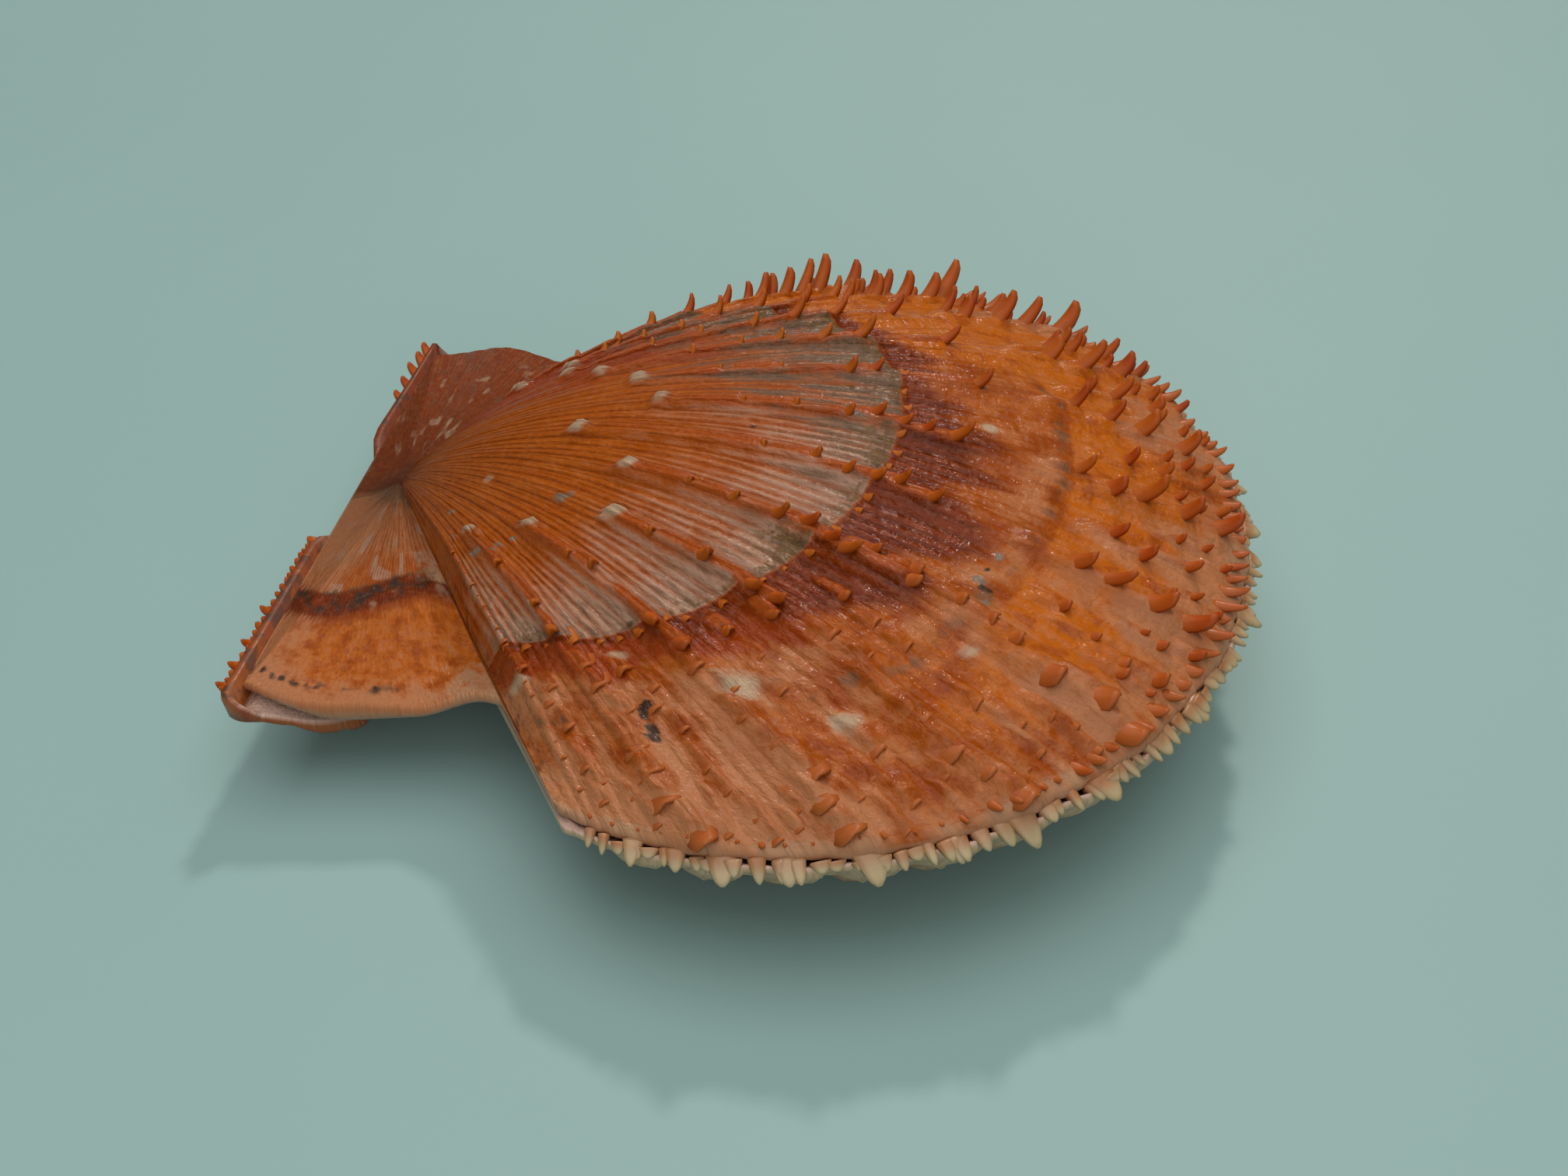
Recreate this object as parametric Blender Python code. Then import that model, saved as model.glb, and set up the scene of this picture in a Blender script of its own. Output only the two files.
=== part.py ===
"""Closed pair of a spiny scallop, lying on its right valve.

Three pieces: the left valve on top, the right valve below, and the ligament
that lies between them along the hinge.

Shell frame, in millimetres: the origin is on the hinge line above the beaks,
+X points to the rear ear, +Y away from the disc, -Y to the lower margin of the
disc, and +Z out of the left valve. The two valves meet at z = 0. At the end the
shell is tilted to the way it rests, and the model is written in metres.
"""
import math
import random

import bmesh
import bpy
from mathutils import Matrix, Vector

MM = 0.001

# Disc outline, seen from above
HEIGHT = 80.0
HALF_LENGTH = 38.6
WIDEST_Y = -42.5
BEAK = (0.0, -4.5)
DISC_EDGE_ANGLE = 55.5
DISC_CREST_ANGLE = 53.0
RIGHT_MARGIN_EXTRA = 0.7

# Ear outlines, from the foot of the disc's straight edge round to the hinge
LEFT_FRONT_EAR = [(-25.4, -21.6), (-24.9, -18.8), (-25.4, -14.4), (-26.5, -8.5), (-27.0, -4.0), (-26.5, -0.2)]
LEFT_REAR_EAR = [(23.2, -19.9), (22.3, -16.0), (21.9, -11.5), (22.3, -6.5), (22.7, -3.0), (22.5, -0.2)]
RIGHT_FRONT_EAR = [
    (-13.6, -13.4), (-14.9, -11.4), (-17.6, -10.0), (-21.2, -9.4), (-24.6, -8.7), (-26.6, -5.6), (-27.9, -1.8),
    (-28.3, -0.2),
]
RIGHT_REAR_EAR = [(23.0, -19.7), (22.2, -16.0), (21.7, -11.5), (22.4, -6.5), (23.5, -2.2), (24.0, -0.2)]
HINGE_FRACTIONS = (0.82, 0.64, 0.46, 0.28, 0.12)

# Heights above and below the plane where the valves meet
GAP = 0.3
BULGES = {"left": 12.2, "right": 10.8}
BULGE_RISE = {"left": 0.75, "right": 0.88}
BULGE_FALL = {"left": 0.95, "right": 0.66}
RIM = 1.0
BEAK_RISE = 1.9
EAR_LEVEL = 1.35
EAR_SWELL = 0.7
FRONT_EAR_DROOP = 2.1
HINGE_RELIEF = 0.55
EAR_CLEARANCE = 0.35
WALL_AT_BEAK = 1.9
WALL_AT_MARGIN = 1.25

# Ribs
LEFT_RIBS = 11
LEFT_RIB_HEIGHT = 0.85
LEFT_CREST_SHARE = 0.14
RIGHT_RIBS = 23
RIGHT_RIB_HEIGHT = 0.6
RIGHT_CREST_SHARE = 0.22
RIB_SPAN_ANGLE = {"left": 46.5, "right": 50.5}

# Growth stops: rings where the shell steps down a little
GROWTH_STOPS = (0.615, 0.80)
GROWTH_STEP = 0.25

# Fold of the right valve's hinge edge over the left valve
FOLD_Y = 1.35
FOLD_TOP = 1.7
FOLD_WALL = 0.75

OUTER_RINGS = (
    0.05, 0.10, 0.16, 0.22, 0.28, 0.34, 0.40, 0.45, 0.50, 0.54, 0.58, 0.62, 0.66, 0.70, 0.74, 0.78,
    0.81, 0.84, 0.87, 0.90, 0.925, 0.95, 0.975, 1.0,
)
RIGHT_RINGS = (0.07, 0.17, 0.28, 0.39, 0.49, 0.58, 0.66, 0.74, 0.81, 0.87, 0.92, 0.96, 1.0)
INNER_RINGS = (1.0, 0.92, 0.74, 0.50, 0.26, 0.10)

# How it rests: tilt about the hinge line, and the flat spot under the belly
REST_TILT = math.radians(-3.0)
REST_DEPTH = 0.7
REST_SPOT = (0.0, -42.0)

LIGAMENT_ENDS = (-21.5, 17.5)
LIGAMENT_Y = (-2.3, -0.7)
LIGAMENT_HALF_THICKNESS = 0.22
RESILIUM_TIP_Y = -5.6
RESILIUM_HALF_WIDTH = 2.4

COLOURS = {
    "left_valve": (0.72, 0.20, 0.05, 1.0),
    "right_valve": (0.66, 0.38, 0.22, 1.0),
    "ligament": (0.06, 0.03, 0.02, 1.0),
}


def smooth(low, high, value):
    """Soft step from 0 at low to 1 at high, which may be the smaller of the two."""
    t = min(max((value - low) / (high - low), 0.0), 1.0)
    return t * t * (3.0 - 2.0 * t)


def margin_point(angle, extra=0.0):
    """Point of the rounded disc margin that is seen from the beak at this angle."""
    s, c = math.sin(angle), -math.cos(angle)
    a = HALF_LENGTH + extra
    b = HEIGHT + WIDEST_Y + extra
    dx, dy = BEAK[0], BEAK[1] - WIDEST_Y
    qa = (s / a) ** 2 + (c / b) ** 2
    qb = 2.0 * (s * dx / a ** 2 + c * dy / b ** 2)
    qc = (dx / a) ** 2 + (dy / b) ** 2 - 1.0
    r = (-qb + math.sqrt(qb * qb - 4.0 * qa * qc)) / (2.0 * qa)
    return (BEAK[0] + r * s, BEAK[1] + r * c)


def bulge(rho, valve):
    """Height of a valve's profile from the beak (0) to the margin (1)."""
    rise, fall = BULGE_RISE[valve], BULGE_FALL[valve]
    top = rise / (rise + fall)
    peak = top ** rise * (1.0 - top) ** fall
    rho = min(max(rho, 0.0), 1.0)
    return BULGES[valve] * rho ** rise * (1.0 - rho) ** fall / peak


def growth_drop(rho):
    """Small steps at the growth stops, gone again before the margin."""
    drop = sum(GROWTH_STEP * smooth(stop - 0.01, stop + 0.02, rho) * (1.0 - smooth(stop, stop + 0.2, rho))
               for stop in GROWTH_STOPS)
    return drop


class Column:
    """One radial line of the shell, from the beak out to a point of the outline."""

    def __init__(self, end, kind, angle=0.0, rib=0.0, crest=False):
        self.end = end
        self.kind = kind
        self.angle = angle
        self.rib = rib
        self.crest = crest

    def at(self, rho):
        return (BEAK[0] + rho * (self.end[0] - BEAK[0]), BEAK[1] + rho * (self.end[1] - BEAK[1]))


def disc_columns(ribs, span, crest_share, extra):
    """Columns over the disc: a valley and two crest lines for each rib."""
    columns = []
    pitch = math.radians(2.0 * span / (ribs - 1))
    crest_half = crest_share * pitch
    first = -math.radians(span)
    for index in range(ribs):
        middle = first + index * pitch
        columns.append(Column(margin_point(middle - crest_half, extra), "disc", middle - crest_half, 1.0, True))
        columns.append(Column(margin_point(middle + crest_half, extra), "disc", middle + crest_half, 1.0))
        if index < ribs - 1:
            valley = middle + 0.5 * pitch
            columns.append(Column(margin_point(valley, extra), "disc", valley, 0.0))
    return columns


def edge_columns(side, extra):
    """The disc's straight edge on one side: the crest of its flank and the foot."""
    crest_angle = side * math.radians(DISC_CREST_ANGLE)
    foot_angle = side * math.radians(DISC_EDGE_ANGLE)
    crest = Column(margin_point(crest_angle, extra), "disc", crest_angle, 0.0)
    foot = Column(margin_point(foot_angle, extra), "foot", foot_angle, 0.0)
    return [crest, foot]


def ring_of_columns(ribs, span, crest_share, front_ear, rear_ear, extra):
    """All columns once round the beak, starting at the middle of the hinge."""
    hinge_middle = Column((0.0, -0.2), "hinge")
    front_corner, rear_corner = front_ear[-1], rear_ear[-1]
    front_hinge = [Column((front_corner[0] * f, -0.2), "hinge") for f in reversed(HINGE_FRACTIONS)]
    rear_hinge = [Column((rear_corner[0] * f, -0.2), "hinge") for f in HINGE_FRACTIONS]
    front = [Column(front_corner, "hinge")] + [Column(point, "ear") for point in reversed(front_ear[:-1])]
    rear = [Column(point, "ear") for point in rear_ear[:-1]] + [Column(rear_corner, "hinge")]
    disc = list(reversed(edge_columns(-1, extra))) + disc_columns(ribs, span, crest_share, extra) + edge_columns(1, extra)
    return [hinge_middle] + front_hinge + front + disc + rear + rear_hinge


def level(column, rho, valve):
    """Height of the outer face, without ribs, before the sign of the valve."""
    start = BEAK_RISE * (1.0 - rho) ** 3
    x, y = column.at(rho)
    if column.kind == "disc":
        dome = bulge(rho, valve) * math.cos(column.angle) ** 2
        return RIM + start * 0.6 + dome - growth_drop(rho) * math.cos(column.angle)
    if column.kind == "foot":
        radius = math.hypot(x - BEAK[0], y - BEAK[1])
        return RIM + (EAR_LEVEL - RIM) * (1.0 - smooth(26.0, 34.0, radius)) + start * 0.6
    swell = EAR_SWELL * math.sin(math.pi * smooth(-16.0, -1.0, y)) * rho
    return EAR_LEVEL + swell + start * 0.6


def droop(x, y):
    """How far the front ears of both valves hang down toward their free edge."""
    across = smooth(-13.0, -26.0, x)
    along = smooth(-21.0, -14.0, y) * (1.0 - smooth(-8.0, -0.5, y))
    return FRONT_EAR_DROOP * across * along


def outer_height(column, rho, valve):
    rib_height = LEFT_RIB_HEIGHT if valve == "left" else RIGHT_RIB_HEIGHT
    ribbing = column.rib * rib_height * (0.12 + 0.88 * smooth(0.0, 0.75, rho))
    if valve == "right":
        ribbing *= smooth(5.0, 12.0, rest_distance(column, rho))
    return level(column, rho, valve) + ribbing


def rest_distance(column, rho):
    """Distance in plan from the spot that the shell rests on."""
    x, y = column.at(rho)
    return math.hypot(x - REST_SPOT[0], y - REST_SPOT[1])


def inner_height(column, rho, valve):
    """Height of the inner face: the smooth outer face less the wall."""
    floor = GAP / 2.0
    if column.kind == "hinge" or (column.kind == "ear" and column.end[1] > -4.6):
        floor = HINGE_RELIEF
    elif column.kind == "ear":
        floor = EAR_CLEARANCE
    if rho >= 1.0:
        return floor
    wall = WALL_AT_BEAK + (WALL_AT_MARGIN - WALL_AT_BEAK) * rho
    if column.kind in ("ear", "foot"):
        return floor
    return max(level(column, rho, valve) - wall, floor)


def rim_path(column, valve):
    """Points from the outer face round the rim to the inner face, as (outward, height)."""
    top = outer_height(column, 1.0, valve)
    bottom = inner_height(column, 1.0, valve)
    folded = valve == "right" and column.kind == "hinge" and abs(column.end[0]) > 4.5
    if folded:
        return [(FOLD_Y, top * 0.6), (FOLD_Y + 0.15, -FOLD_TOP), (FOLD_Y - FOLD_WALL, -FOLD_TOP), (0.45, bottom)]
    bulge_out = 0.35
    return [(bulge_out, 0.65 * top + 0.35 * bottom), (bulge_out, 0.3 * top + 0.7 * bottom), (0.15, bottom), (0.0, bottom)]


def outward(column):
    """Unit direction in plan, away from the beak, or straight back at the hinge."""
    if column.kind == "hinge":
        return (0.0, 1.0)
    dx, dy = column.end[0] - BEAK[0], column.end[1] - BEAK[1]
    length = math.hypot(dx, dy)
    return (dx / length, dy / length)


def make_valve(name, valve):
    """A closed solid: outer face, rim and inner face of one valve."""
    if valve == "left":
        columns = ring_of_columns(
            LEFT_RIBS, RIB_SPAN_ANGLE[valve], LEFT_CREST_SHARE, LEFT_FRONT_EAR, LEFT_REAR_EAR, 0.0,
        )
        rings = OUTER_RINGS
        sign = 1.0
    else:
        columns = ring_of_columns(
            RIGHT_RIBS, RIB_SPAN_ANGLE[valve], RIGHT_CREST_SHARE, RIGHT_FRONT_EAR, RIGHT_REAR_EAR,
            RIGHT_MARGIN_EXTRA,
        )
        rings = RIGHT_RINGS
        sign = -1.0
    mesh = bmesh.new()

    def place(x, y, height):
        return mesh.verts.new((x, y, sign * height - droop(x, y)))

    apex = place(BEAK[0], BEAK[1], RIM + BEAK_RISE * 0.6 + 0.2)
    rows = []
    for rho in rings:
        row = []
        for column in columns:
            x, y = column.at(rho)
            row.append(place(x, y, outer_height(column, rho, valve)))
        rows.append(row)
    for step in range(3):
        row = []
        for column in columns:
            out, height = rim_path(column, valve)[step]
            ox, oy = outward(column)
            row.append(place(column.end[0] + ox * out, column.end[1] + oy * out, height))
        rows.append(row)
    for rho in INNER_RINGS:
        row = []
        for column in columns:
            x, y = column.at(rho)
            if rho >= 1.0:
                out, height = rim_path(column, valve)[3]
                ox, oy = outward(column)
                row.append(place(x + ox * out, y + oy * out, height))
            else:
                row.append(place(x, y, inner_height(column, rho, valve)))
        rows.append(row)
    inner_apex = place(BEAK[0], BEAK[1], HINGE_RELIEF)

    count = len(columns)
    faces = {}
    for i in range(count):
        j = (i + 1) % count
        mesh.faces.new((apex, rows[0][i], rows[0][j]))
        for k in range(len(rows) - 1):
            faces[(k, i)] = mesh.faces.new((rows[k][i], rows[k + 1][i], rows[k + 1][j], rows[k][j]))
        mesh.faces.new((inner_apex, rows[-1][j], rows[-1][i]))
    bmesh.ops.recalc_face_normals(mesh, faces=mesh.faces)
    return mesh, columns, rings, faces


def raise_spine(mesh, face, length, lean, tip_width, tip_depth):
    """Grow one blunt spine out of a face; lean is its outward direction in the shell frame."""
    grown = bmesh.ops.extrude_discrete_faces(mesh, faces=[face])["faces"][0]
    centre = grown.calc_center_median()
    direction = (grown.normal + lean).normalized()
    around = Vector((-lean.y, lean.x, 0.0)).normalized()
    along = direction.cross(around).normalized()
    tip = centre + direction * length
    for vert in grown.verts:
        offset = vert.co - centre
        vert.co = tip + around * offset.dot(around) * tip_width + along * offset.dot(along) * tip_depth


def spine_length(rho):
    """Spines of the left valve: stubs near the beak, long ones near the margin."""
    return 0.5 + 1.3 * smooth(0.3, 0.8, rho) + 1.5 * smooth(0.78, 0.95, rho)


def left_spines(mesh, columns, rings, faces):
    """Spines on the left valve's ribs, longer and closer together toward the margin."""
    rng = random.Random(11)
    crests = [i for i, column in enumerate(columns) if column.crest]
    for i in crests:
        ox, oy = outward(columns[i])
        last = -10
        for k in range(4, len(rings) - 1):
            rho = rings[k]
            wait = 2 if rho > 0.5 else 3
            if k - last < wait or rng.random() < 0.12:
                continue
            length = spine_length(rho) * rng.uniform(0.8, 1.15)
            lean = Vector((ox, oy, 0.0)) * rng.uniform(0.5, 0.95)
            raise_spine(mesh, faces[(k, i)], length, lean, 0.62, 0.35)
            last = k
        lean = Vector((ox, oy, 0.35)) * 1.4
        raise_spine(mesh, faces[(len(rings) - 1, i)], rng.uniform(0.9, 1.7), lean, 0.6, 0.5)
        between_ribs = columns[i + 2].kind == "disc" and columns[i + 2].angle < columns[crests[-1]].angle
        if between_ribs:
            for k in range(len(rings) - 6, len(rings), 2):
                lean = Vector((ox, oy, 0.0)) * rng.uniform(0.6, 1.1)
                raise_spine(mesh, faces[(k, i + 1)], rng.uniform(0.8, 1.5), lean, 0.3, 0.35)


def right_teeth(mesh, columns, rings, faces):
    """Blunt teeth round the right valve's margin, and low scales on its outer ribs."""
    rng = random.Random(5)
    crests = [i for i, column in enumerate(columns) if column.crest]
    for number, i in enumerate(crests):
        ox, oy = outward(columns[i])
        strength = 1.0 if number % 2 == 0 else 0.55
        lean = Vector((ox, oy, -0.35)) * 2.0
        raise_spine(mesh, faces[(len(rings) - 1, i)], rng.uniform(2.2, 3.2) * strength, lean, 0.6, 0.6)
        for k in range(6, len(rings) - 2, 2):
            if rng.random() < 0.25 or rest_distance(columns[i], rings[k]) < 17.0:
                continue
            lean = Vector((ox, oy, 0.0)) * 0.9
            raise_spine(mesh, faces[(k, i)], 0.7, lean, 0.7, 0.4)


def hinge_spines(mesh, columns, rings, faces):
    """Small spines along the fold of the right valve's hinge edge."""
    fold_row = len(rings)
    for i, column in enumerate(columns):
        after = columns[(i + 1) % len(columns)]
        both = column.kind == "hinge" and after.kind == "hinge"
        clear = min(abs(column.end[0]), abs(after.end[0])) > 4.5
        if both and clear:
            length = 1.5 if column.end[0] > 0.0 else 0.8
            raise_spine(mesh, faces[(fold_row, i)], length, Vector((0.0, 0.8, 0.8)), 0.35, 0.35)


def make_ligament():
    """The dark strip along the hinge, with the pad under the beaks."""
    mesh = bmesh.new()
    x0, x1 = LIGAMENT_ENDS
    back, front = LIGAMENT_Y[1], LIGAMENT_Y[0]
    w = RESILIUM_HALF_WIDTH
    outline = [
        (x0, back), (x1, back), (x1 + 0.6, 0.5 * (back + front)), (x1, front), (w, front), (0.5 * w, RESILIUM_TIP_Y),
        (-0.5 * w, RESILIUM_TIP_Y), (-w, front), (x0, front), (x0 - 0.6, 0.5 * (back + front)),
    ]
    t = LIGAMENT_HALF_THICKNESS
    bottom = mesh.faces.new([mesh.verts.new((x, y, -t)) for x, y in outline])
    top = bmesh.ops.extrude_face_region(mesh, geom=[bottom])["geom"]
    for item in top:
        if isinstance(item, bmesh.types.BMVert):
            item.co.z = t
    bmesh.ops.recalc_face_normals(mesh, faces=mesh.faces)
    return mesh


def material(name):
    colour = COLOURS[name]
    made = bpy.data.materials.new(name)
    made.use_nodes = True
    shader = made.node_tree.nodes["Principled BSDF"]
    shader.inputs["Base Color"].default_value = colour
    shader.inputs["Roughness"].default_value = 0.5
    shader.inputs["Metallic"].default_value = 0.0
    made.diffuse_color = colour
    return made


def add_object(name, mesh):
    data = bpy.data.meshes.new(name)
    mesh.to_mesh(data)
    mesh.free()
    made = bpy.data.objects.new(name, data)
    data.materials.append(material(name))
    bpy.context.scene.collection.objects.link(made)
    return made


def rest(objects):
    """Tilt the shell to the way it lies, cut its flat spot and centre it on the floor."""
    turn = Matrix.Rotation(REST_TILT, 4, "X")
    for made in objects:
        made.data.transform(turn)
    points = [vert.co for made in objects for vert in made.data.vertices]
    belly = [p for p in points if math.hypot(p.x - REST_SPOT[0], p.y - REST_SPOT[1]) < 12.0]
    floor = min(p.z for p in belly) + REST_DEPTH
    middle_x = 0.5 * (min(p.x for p in points) + max(p.x for p in points))
    middle_y = 0.5 * (min(p.y for p in points) + max(p.y for p in points))
    for made in objects:
        for vert in made.data.vertices:
            vert.co = Vector((vert.co.x - middle_x, vert.co.y - middle_y, max(vert.co.z, floor) - floor)) * MM
        made.data.update()


def build():
    for old in list(bpy.data.objects):
        bpy.data.objects.remove(old)
    left, left_columns, left_rings, left_faces = make_valve("left_valve", "left")
    left_spines(left, left_columns, left_rings, left_faces)
    right, right_columns, right_rings, right_faces = make_valve("right_valve", "right")
    right_teeth(right, right_columns, right_rings, right_faces)
    hinge_spines(right, right_columns, right_rings, right_faces)
    objects = [
        add_object("left_valve", left),
        add_object("right_valve", right),
        add_object("ligament", make_ligament()),
    ]
    rest(objects)


build()
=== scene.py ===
"""The look of a spiny scallop shell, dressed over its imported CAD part.

Shapes are worked out in the shell's own frame, in millimetres, with the same
driving sizes as the part: the origin is on the hinge line above the beaks, +X
points to the rear ear, -Y to the lower margin of the disc, and +Z out of the
left valve. An angle is in degrees at the beak, 0 toward the lower margin and
positive toward the rear. rho runs from 0 at the beak to 1 at the outline.
"""
import math

import bpy
import numpy as np
from mathutils import Matrix, Vector


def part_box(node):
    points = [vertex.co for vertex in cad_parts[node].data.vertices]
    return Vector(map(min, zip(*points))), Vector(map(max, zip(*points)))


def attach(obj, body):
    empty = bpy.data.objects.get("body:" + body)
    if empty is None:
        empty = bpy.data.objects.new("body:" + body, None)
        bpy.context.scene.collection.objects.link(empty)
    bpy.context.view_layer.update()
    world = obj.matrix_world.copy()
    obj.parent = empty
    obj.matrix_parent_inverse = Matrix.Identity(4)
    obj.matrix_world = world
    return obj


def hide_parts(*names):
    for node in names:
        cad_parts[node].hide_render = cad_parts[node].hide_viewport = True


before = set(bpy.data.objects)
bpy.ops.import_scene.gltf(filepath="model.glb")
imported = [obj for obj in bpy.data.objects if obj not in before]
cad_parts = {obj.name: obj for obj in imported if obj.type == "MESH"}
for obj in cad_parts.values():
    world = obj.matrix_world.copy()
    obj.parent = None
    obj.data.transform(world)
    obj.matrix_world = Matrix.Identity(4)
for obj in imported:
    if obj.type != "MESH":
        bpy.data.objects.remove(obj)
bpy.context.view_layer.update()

MM = 0.001

# Disc outline
HEIGHT = 80.0
HALF_LENGTH = 38.6
WIDEST_Y = -42.5
BEAK = np.array([0.0, -4.5])
DISC_EDGE_ANGLE = 55.5
DISC_CREST_ANGLE = 53.0

# Ear outlines, from the foot of the disc's straight edge round to the hinge
LEFT_FRONT_EAR = [(-25.4, -21.6), (-24.9, -18.8), (-25.4, -14.4), (-26.5, -8.5), (-27.0, -4.0), (-26.5, -0.2)]
LEFT_REAR_EAR = [(23.2, -19.9), (22.3, -16.0), (21.9, -11.5), (22.3, -6.5), (22.7, -3.0), (22.5, -0.2)]
RIGHT_FRONT_EAR = [
    (-13.6, -13.4), (-14.9, -11.4), (-17.6, -10.0), (-21.2, -9.4), (-24.6, -8.7), (-26.6, -5.6), (-27.9, -1.8),
    (-28.3, -0.2),
]
RIGHT_REAR_EAR = [(23.0, -19.7), (22.2, -16.0), (21.7, -11.5), (22.4, -6.5), (23.5, -2.2), (24.0, -0.2)]

# Heights above and below the plane where the valves meet
GAP = 0.3
RIM = 1.0
BEAK_RISE = 1.9
EAR_LEVEL = 1.35
EAR_SWELL = 0.7
REAR_DOME = 0.9
FRONT_EAR_DROOP = 2.1
HINGE_RELIEF = 0.55
EAR_CLEARANCE = 0.35
WALL_AT_BEAK = 1.9
WALL_AT_MARGIN = 1.25

# Ribs and growth stops
RIB_PITCH = {"left": 9.3, "right": 101.0 / 22.0}
RIB_SPAN = {"left": 46.5, "right": 50.5}
RIB_HEIGHT = {"left": 0.85, "right": 0.6}
MARGIN_EXTRA = {"left": 0.0, "right": 0.7}
BULGES = {"left": 12.2, "right": 10.8}
BULGE_RISE = {"left": 0.75, "right": 0.88}
BULGE_FALL = {"left": 0.95, "right": 0.66}
GROWTH_STOPS = (0.615, 0.80)
GROWTH_STEP = 0.25
RIBLETS_PER_RIB = {"left": 8, "right": 4}
RIBLET_HEIGHT = {"left": 0.10, "right": 0.10}

# Fold of the right valve's hinge edge over the left valve
FOLD_Y = 1.35
FOLD_TOP = 1.7
FOLD_WALL = 0.75
FOLD_START_X = 4.5

# How it rests, and the spot under the belly that it rests on
REST_TILT = math.radians(-3.0)
REST_SPOT = np.array([0.0, -42.0])

LIGAMENT_ENDS = (-22.1, 18.1)
LIGAMENT_Y = (-5.6, -0.7)
LIGAMENT_HALF_THICKNESS = 0.22

# Mesh density
RINGS = 122
DISC_COLUMNS = 482
FLANK_COLUMNS = 8
FOOT_COLUMNS = 14
COLUMNS_PER_EAR_SPAN = 10
HINGE_COLUMNS = 16
INNER_RINGS = (0.97, 0.92, 0.84, 0.74, 0.62, 0.50, 0.38, 0.26, 0.16, 0.08)

# Spines of the left valve's ribs inside the second growth stop, rib by rib from
# the front edge, as places along the rib
INNER_SPINES = {
    -5: (0.41, 0.53, 0.60),
    -4: (0.44, 0.48, 0.61, 0.66),
    -3: (0.47, 0.55, 0.62, 0.65),
    -2: (0.44, 0.50, 0.56, 0.59, 0.62, 0.645, 0.72),
    -1: (0.48, 0.54, 0.58, 0.61, 0.635, 0.675),
    0: (0.43, 0.49, 0.55, 0.58, 0.61, 0.635, 0.67),
    1: (0.40, 0.47, 0.55, 0.58, 0.70),
    2: (0.38, 0.44, 0.49, 0.54, 0.59, 0.70),
    3: (0.36, 0.43, 0.50, 0.56, 0.62, 0.70),
    4: (0.34, 0.40, 0.46, 0.53, 0.60, 0.67, 0.74),
    5: (0.36, 0.44, 0.52, 0.60, 0.68, 0.76),
}
# Where the raised band of each of those ribs begins, with a white knob
BAND_STARTS = {-5: 0.30, -4: 0.344, -3: 0.403, -2: 0.352, -1: 0.25, 0: 0.33, 1: 0.30, 2: 0.26, 3: 0.24, 4: 0.28, 5: 0.24}

# Pale patches and specks of dirt on the left valve: angle, rho, radius in mm
WHITE_PATCHES = [
    (-36.0, 0.758, 2.6), (-32.0, 0.84, 1.6), (-53.5, 0.707, 1.6), (-42.0, 0.654, 1.4), (-21.0, 0.829, 1.2),
    (-30.0, 0.203, 0.6), (4.0, 0.715, 1.0),
]
CRUSTS = [
    (-28.5, 0.334, 0.75), (-48.8, 0.368, 0.75), (-44.0, 0.364, 0.7), (-46.0, 0.385, 0.5), (-46.0, 0.232, 0.45),
    (-50.5, 0.30, 0.5), (-15.0, 0.776, 0.7), (-17.0, 0.798, 0.6), (-12.0, 0.775, 0.5), (-41.0, 0.36, 0.4),
]
DIRT_SPECKS = [
    (-45.0, 0.815, 0.9), (-44.6, 0.80, 0.8), (-44.2, 0.785, 0.8), (-43.9, 0.772, 0.7), (-43.5, 0.76, 0.7),
    (-15.6, 0.785, 0.4), (-13.5, 0.772, 0.35), (-4.6, 0.46, 0.3),
]


def linear(red, green, blue):
    """Scene-linear colour of an sRGB one given from 0 to 255."""
    parts = [c / 255.0 for c in (red, green, blue)]
    return tuple(c / 12.92 if c <= 0.04045 else ((c + 0.055) / 1.055) ** 2.4 for c in parts) + (1.0,)


def smooth(low, high, value):
    """Soft step from 0 at low to 1 at high, which may be the smaller of the two."""
    t = np.clip((value - low) / (high - low), 0.0, 1.0)
    return t * t * (3.0 - 2.0 * t)


def noise(x, y, seed):
    """Smooth noise from 0 to 1, with about one bump per unit of x and of y."""
    size = 64
    table = np.random.default_rng(seed).random((size, size))
    column, row = np.floor(x), np.floor(y)
    fx, fy = x - column, y - row
    fx, fy = fx * fx * (3.0 - 2.0 * fx), fy * fy * (3.0 - 2.0 * fy)
    i, j = column.astype(int) % size, row.astype(int) % size
    low = table[i, j] * (1.0 - fx) + table[(i + 1) % size, j] * fx
    high = table[i, (j + 1) % size] * (1.0 - fx) + table[(i + 1) % size, (j + 1) % size] * fx
    return low * (1.0 - fy) + high * fy


def margin(angle, valve):
    """Points of the disc's rounded margin seen from the beak at these angles."""
    wave = 0.3 * rib_band(angle, valve) + 0.12 * np.abs(np.sin(np.radians(angle) * 155.0))
    s, c = np.sin(np.radians(angle)), -np.cos(np.radians(angle))
    a = HALF_LENGTH + MARGIN_EXTRA[valve]
    b = HEIGHT + WIDEST_Y + MARGIN_EXTRA[valve]
    dx, dy = BEAK[0], BEAK[1] - WIDEST_Y
    qa = (s / a) ** 2 + (c / b) ** 2
    qb = 2.0 * (s * dx / a ** 2 + c * dy / b ** 2)
    qc = (dx / a) ** 2 + (dy / b) ** 2 - 1.0
    r = (-qb + np.sqrt(qb * qb - 4.0 * qa * qc)) / (2.0 * qa) + wave - 0.25
    return np.stack([BEAK[0] + r * s, BEAK[1] + r * c], -1)


def rib_distance(angle, valve):
    """How far each angle is from its nearest rib, in rib pitches from -0.5 to 0.5."""
    place = angle / RIB_PITCH[valve]
    return place - np.round(place)


def fold_reach(x):
    """How far the folded hinge edge stands out, less toward the rear corner."""
    return FOLD_Y * (1.0 - 0.4 * smooth(4.0, 24.0, x))


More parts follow.
